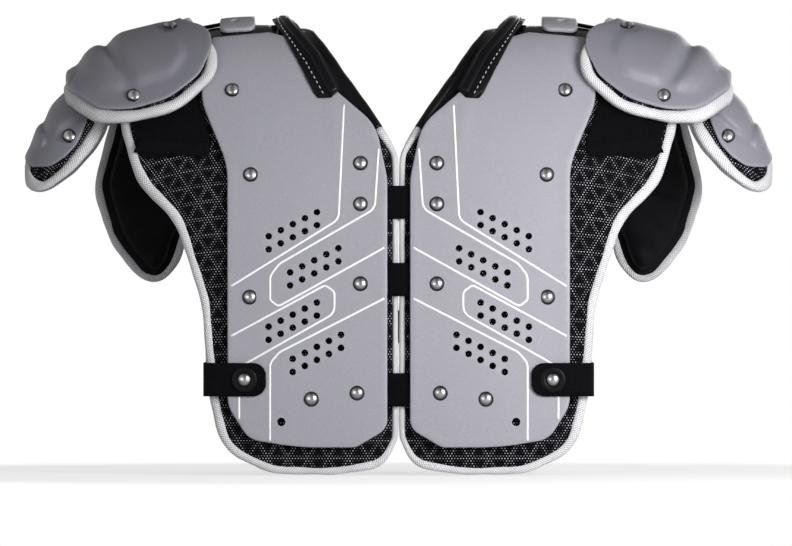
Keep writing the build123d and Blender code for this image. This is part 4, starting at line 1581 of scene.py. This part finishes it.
for side, sign in SIDES:
    flip = np.array([sign, 1, 1])
    for part, body, spots, out, form in (
            ("epaulet", f"{side}_epaulet", CAP_RIVETS, CAP_TOP, body_form),
            ("cup", f"{side}_arm_cup", CUP_RIVETS, 0.0, cup_form)):
        places = [a * flip for a in gathered(surface_spots(spots, out, form),
                                             surface_spots(spots, out, form, rear=True))]
        repeat(f"{side}_{part}_rivets_dome", DOME, *places, rivet_finish, "rivet_chrome", body,
               [f"{side}_{part}_rivets"])
        repeat(f"{side}_{part}_rivets_seat", SEAT, *places, gloss_finish, "bridge_gloss", body)
print("rivets in the plates:", len(plate_spots[0]))

# %% [markdown]
# ## Stitches
# A stitch is a short bead of thread, arched where it comes out of the cloth and goes back in.
# Rows of them run along the collar trim and beside both edges of each tie. The same node group
# sets them, with each bead's heading along its row.

# %% Stitching
BEAD_LINE = [(-1.1, 0, 0), (-0.7, 0, 0.28), (0, 0, 0.38), (0.7, 0, 0.28), (1.1, 0, 0)]
BEAD_WIDTH, BEAD_THICK, TIE_SEAM, TIE_SEAM_ENDS = 0.62, 0.34, 8.0, (12, 36)
BEAD = mesh_object("stitch_shape", *band(BEAD_LINE, (0, 1, 0), BEAD_WIDTH, BEAD_THICK, 2)[:2])
BEAD.hide_render = True


def stitch_row(path, out, form=body_form, pitch=3.4):
    """Places, outward directions and headings along a line on the unrolled arch."""
    run = lengths(path)
    at = np.arange(pitch / 2, run[-1], pitch)
    flat = np.stack([np.interp(at, run, path[:, k]) for k in (0, 1)], 1)
    ahead = np.stack([np.interp(at + 0.5, run, path[:, k]) for k in (0, 1)], 1)
    turn, turn_ahead = turn_at(flat[:, 1], form), turn_at(ahead[:, 1], form)
    base, lifted = arch(flat[:, 0], turn, out, form), arch(flat[:, 0], turn, out + 1, form)
    return base, lifted - base, arch(ahead[:, 0], turn_ahead, out, form) - base


trim_seam = over_path([(56, 284, 0), (70, 309, 30), (88, 335, 20), (92, 342, 0)], TRIM)
repeat("collar_stitches", BEAD,
       *mirrored(*stitch_row(trim_seam, TRIM + FIT + 0.75, pitch=4.6)), grey_thread,
       "black_vinyl", "torso")
rows = []
for tie, height, front in TIES:
    for offset in (-TIE_SEAM, TIE_SEAM):
        path = level_path(*TIE_SEAM_ENDS, height + offset, front)
        rows.append(stitch_row(path, UNDER_TOP + 0.1))
repeat("tie_stitches", BEAD, *mirrored(*gathered(*rows)), black_thread, "black_webbing", "torso")
print("stitches on the ties:", sum(len(r[0]) for r in rows) * 2)

# %% [markdown]
# ## Camera
# A very long lens from nine metres away flattens the perspective, so the left and right halves
# are seen equally square. The camera is level and looks straight at the chest.

# %% Camera
LENS, SENSOR, DISTANCE, FAR_CLIP = 542.0, 36.0, 9.0, 60.0
AIM, TOWARDS_CAMERA = Vector((-0.002, 0.0, 0.151)), Vector((0, -1, 0))
camera = bpy.data.objects.new("camera", bpy.data.cameras.new("camera"))
bpy.context.scene.collection.objects.link(camera)
camera.data.lens, camera.data.sensor_width = LENS, SENSOR
camera.location = AIM + TOWARDS_CAMERA * DISTANCE
camera.rotation_mode = "QUATERNION"
camera.rotation_quaternion = (-TOWARDS_CAMERA).to_track_quat("-Z", "Y")
camera.data.clip_end = FAR_CLIP
bpy.context.scene.camera = camera
print("camera at", tuple(round(c, 3) for c in camera.location))

# %% [markdown]
# ## Lamps
# A small lamp close to the right front is the key, and its closeness makes the light fall off
# across the chest. A broad weaker one fills in from the left. A third stands behind, so that
# the back isn't black when the object is seen from there.

# %% Lamps
def area_light(name, place, target, size, power):
    lamp = bpy.data.objects.new(name, bpy.data.lights.new(name, "AREA"))
    lamp.data.shape, lamp.data.size, lamp.data.energy = "SQUARE", size, power
    lamp.location = place
    lamp.rotation_euler = (Vector(target) - Vector(place)).to_track_quat("-Z", "Y").to_euler()
    bpy.context.scene.collection.objects.link(lamp)


LAMPS = (("key", (0.62, -0.90, 0.40), (0.10, 0, 0.24), 0.45, 12),
         ("fill", (-0.9, -1.7, 0.20), (0, 0, 0.15), 1.0, 8),
         ("rear", (0.5, 1.9, 0.35), (0, 0, 0.15), 1.2, 16))
for lamp in LAMPS:
    area_light(*lamp)
print("lamps:", ", ".join(lamp[0] for lamp in LAMPS))

# %% [markdown]
# ## What surrounds the object
# The world is three things at once. The camera sees white paper. Matte surfaces get a weak even
# light from all round, which softens the shadows. Mirrors see a dim room with bright walls at
# the left and the right, because a rivet in an all-white room has no shape.

# %% World
AMBIENT, ROOM_MIDDLE, ROOM_SIDES, PAPER_WHITE = 0.17, 0.10, 1.3, 1.0


def light_path(tree, rays):
    """1 for any of the named kinds of ray."""
    path = tree.nodes.new("ShaderNodeLightPath")
    total = path.outputs[rays[0]]
    for ray in rays[1:]:
        both = tree.nodes.new("ShaderNodeMath")
        both.operation = "MAXIMUM"
        tree.links.new(total, both.inputs[0])
        tree.links.new(path.outputs[ray], both.inputs[1])
        total = both.outputs[0]
    return total


DIRECT = ("Is Camera Ray", "Is Transmission Ray")
world = bpy.data.worlds.new("studio")
bpy.context.scene.world = world
world.use_nodes = True
tree = world.node_tree


def room_light(strength):
    light = tree.nodes.new("ShaderNodeBackground")
    light.inputs["Color"].default_value = (1, 1, 1, 1)
    light.inputs["Strength"].default_value = strength
    return light.outputs[0]


def choose(share, low, high):
    """One of two lights, by a share from 0 to 1."""
    mixed = tree.nodes.new("ShaderNodeMixShader")
    for socket, source in zip(mixed.inputs, (share, low, high)):
        tree.links.new(source, socket)
    return mixed.outputs[0]


where = tree.nodes.new("ShaderNodeTexCoord")
split = tree.nodes.new("ShaderNodeSeparateXYZ")
tree.links.new(where.outputs["Generated"], split.inputs[0])
sideways = tree.nodes.new("ShaderNodeMath")
sideways.operation = "ABSOLUTE"
tree.links.new(split.outputs["X"], sideways.inputs[0])
walls = choose(sideways.outputs[0], room_light(ROOM_MIDDLE), room_light(ROOM_SIDES))
room = choose(light_path(tree, ("Is Glossy Ray",)), room_light(AMBIENT), walls)
paper = choose(light_path(tree, DIRECT), room, room_light(PAPER_WHITE))
tree.links.new(paper, tree.nodes["World Output"].inputs["Surface"])
bpy.context.scene.view_settings.view_transform = "Standard"
print("nodes in the world:", len(tree.nodes))

# %% [markdown]
# ## Floor
# Near the object the floor keeps three tenths of its own shading, so a soft shadow stays under
# the pads. Further out it turns into plain white, which hides where the floor ends.

# %% Floor
FADE_START, FADE_RATE, PAPER_SHARE, FLOOR_HALF = 0.1, 2.2, 0.7, 1500
floor = mesh_object("floor", [(x * FLOOR_HALF, y * FLOOR_HALF, 0) for x, y in
                              ((-1, -1), (1, -1), (1, 1), (-1, 1))], [(0, 1, 2, 3)])
floor_shade = Shade("floor_white")
floor_shade.set(color=(0.86, 0.86, 0.86, 1), roughness=0.9)
place = floor_shade.node("TexCoord")["Object"]
radius = floor_shade.node("VectorMath", {"operation": "LENGTH"}, {0: place})["Value"]
fade = ((radius - FADE_START) * FADE_RATE).largest(PAPER_SHARE).smallest(1.0)
glow = floor_shade.node("Emission", None, {"Color": (1, 1, 1, 1), "Strength": 1.0})["Emission"]
floor_mix = floor_shade.tree.nodes.new("ShaderNodeMixShader")
links = floor_shade.tree.links
seen = Value(floor_shade, light_path(floor_shade.tree, DIRECT))
floor_shade.plug(floor_mix.inputs[0], seen * fade)
links.new(floor_shade.shader.outputs[0], floor_mix.inputs[1])
links.new(glow.socket, floor_mix.inputs[2])
links.new(floor_mix.outputs[0], floor_shade.tree.nodes["Material Output"].inputs["Surface"])
floor.data.materials.append(floor_shade.material)
print("floor:", [round(c, 2) for c in floor.dimensions])
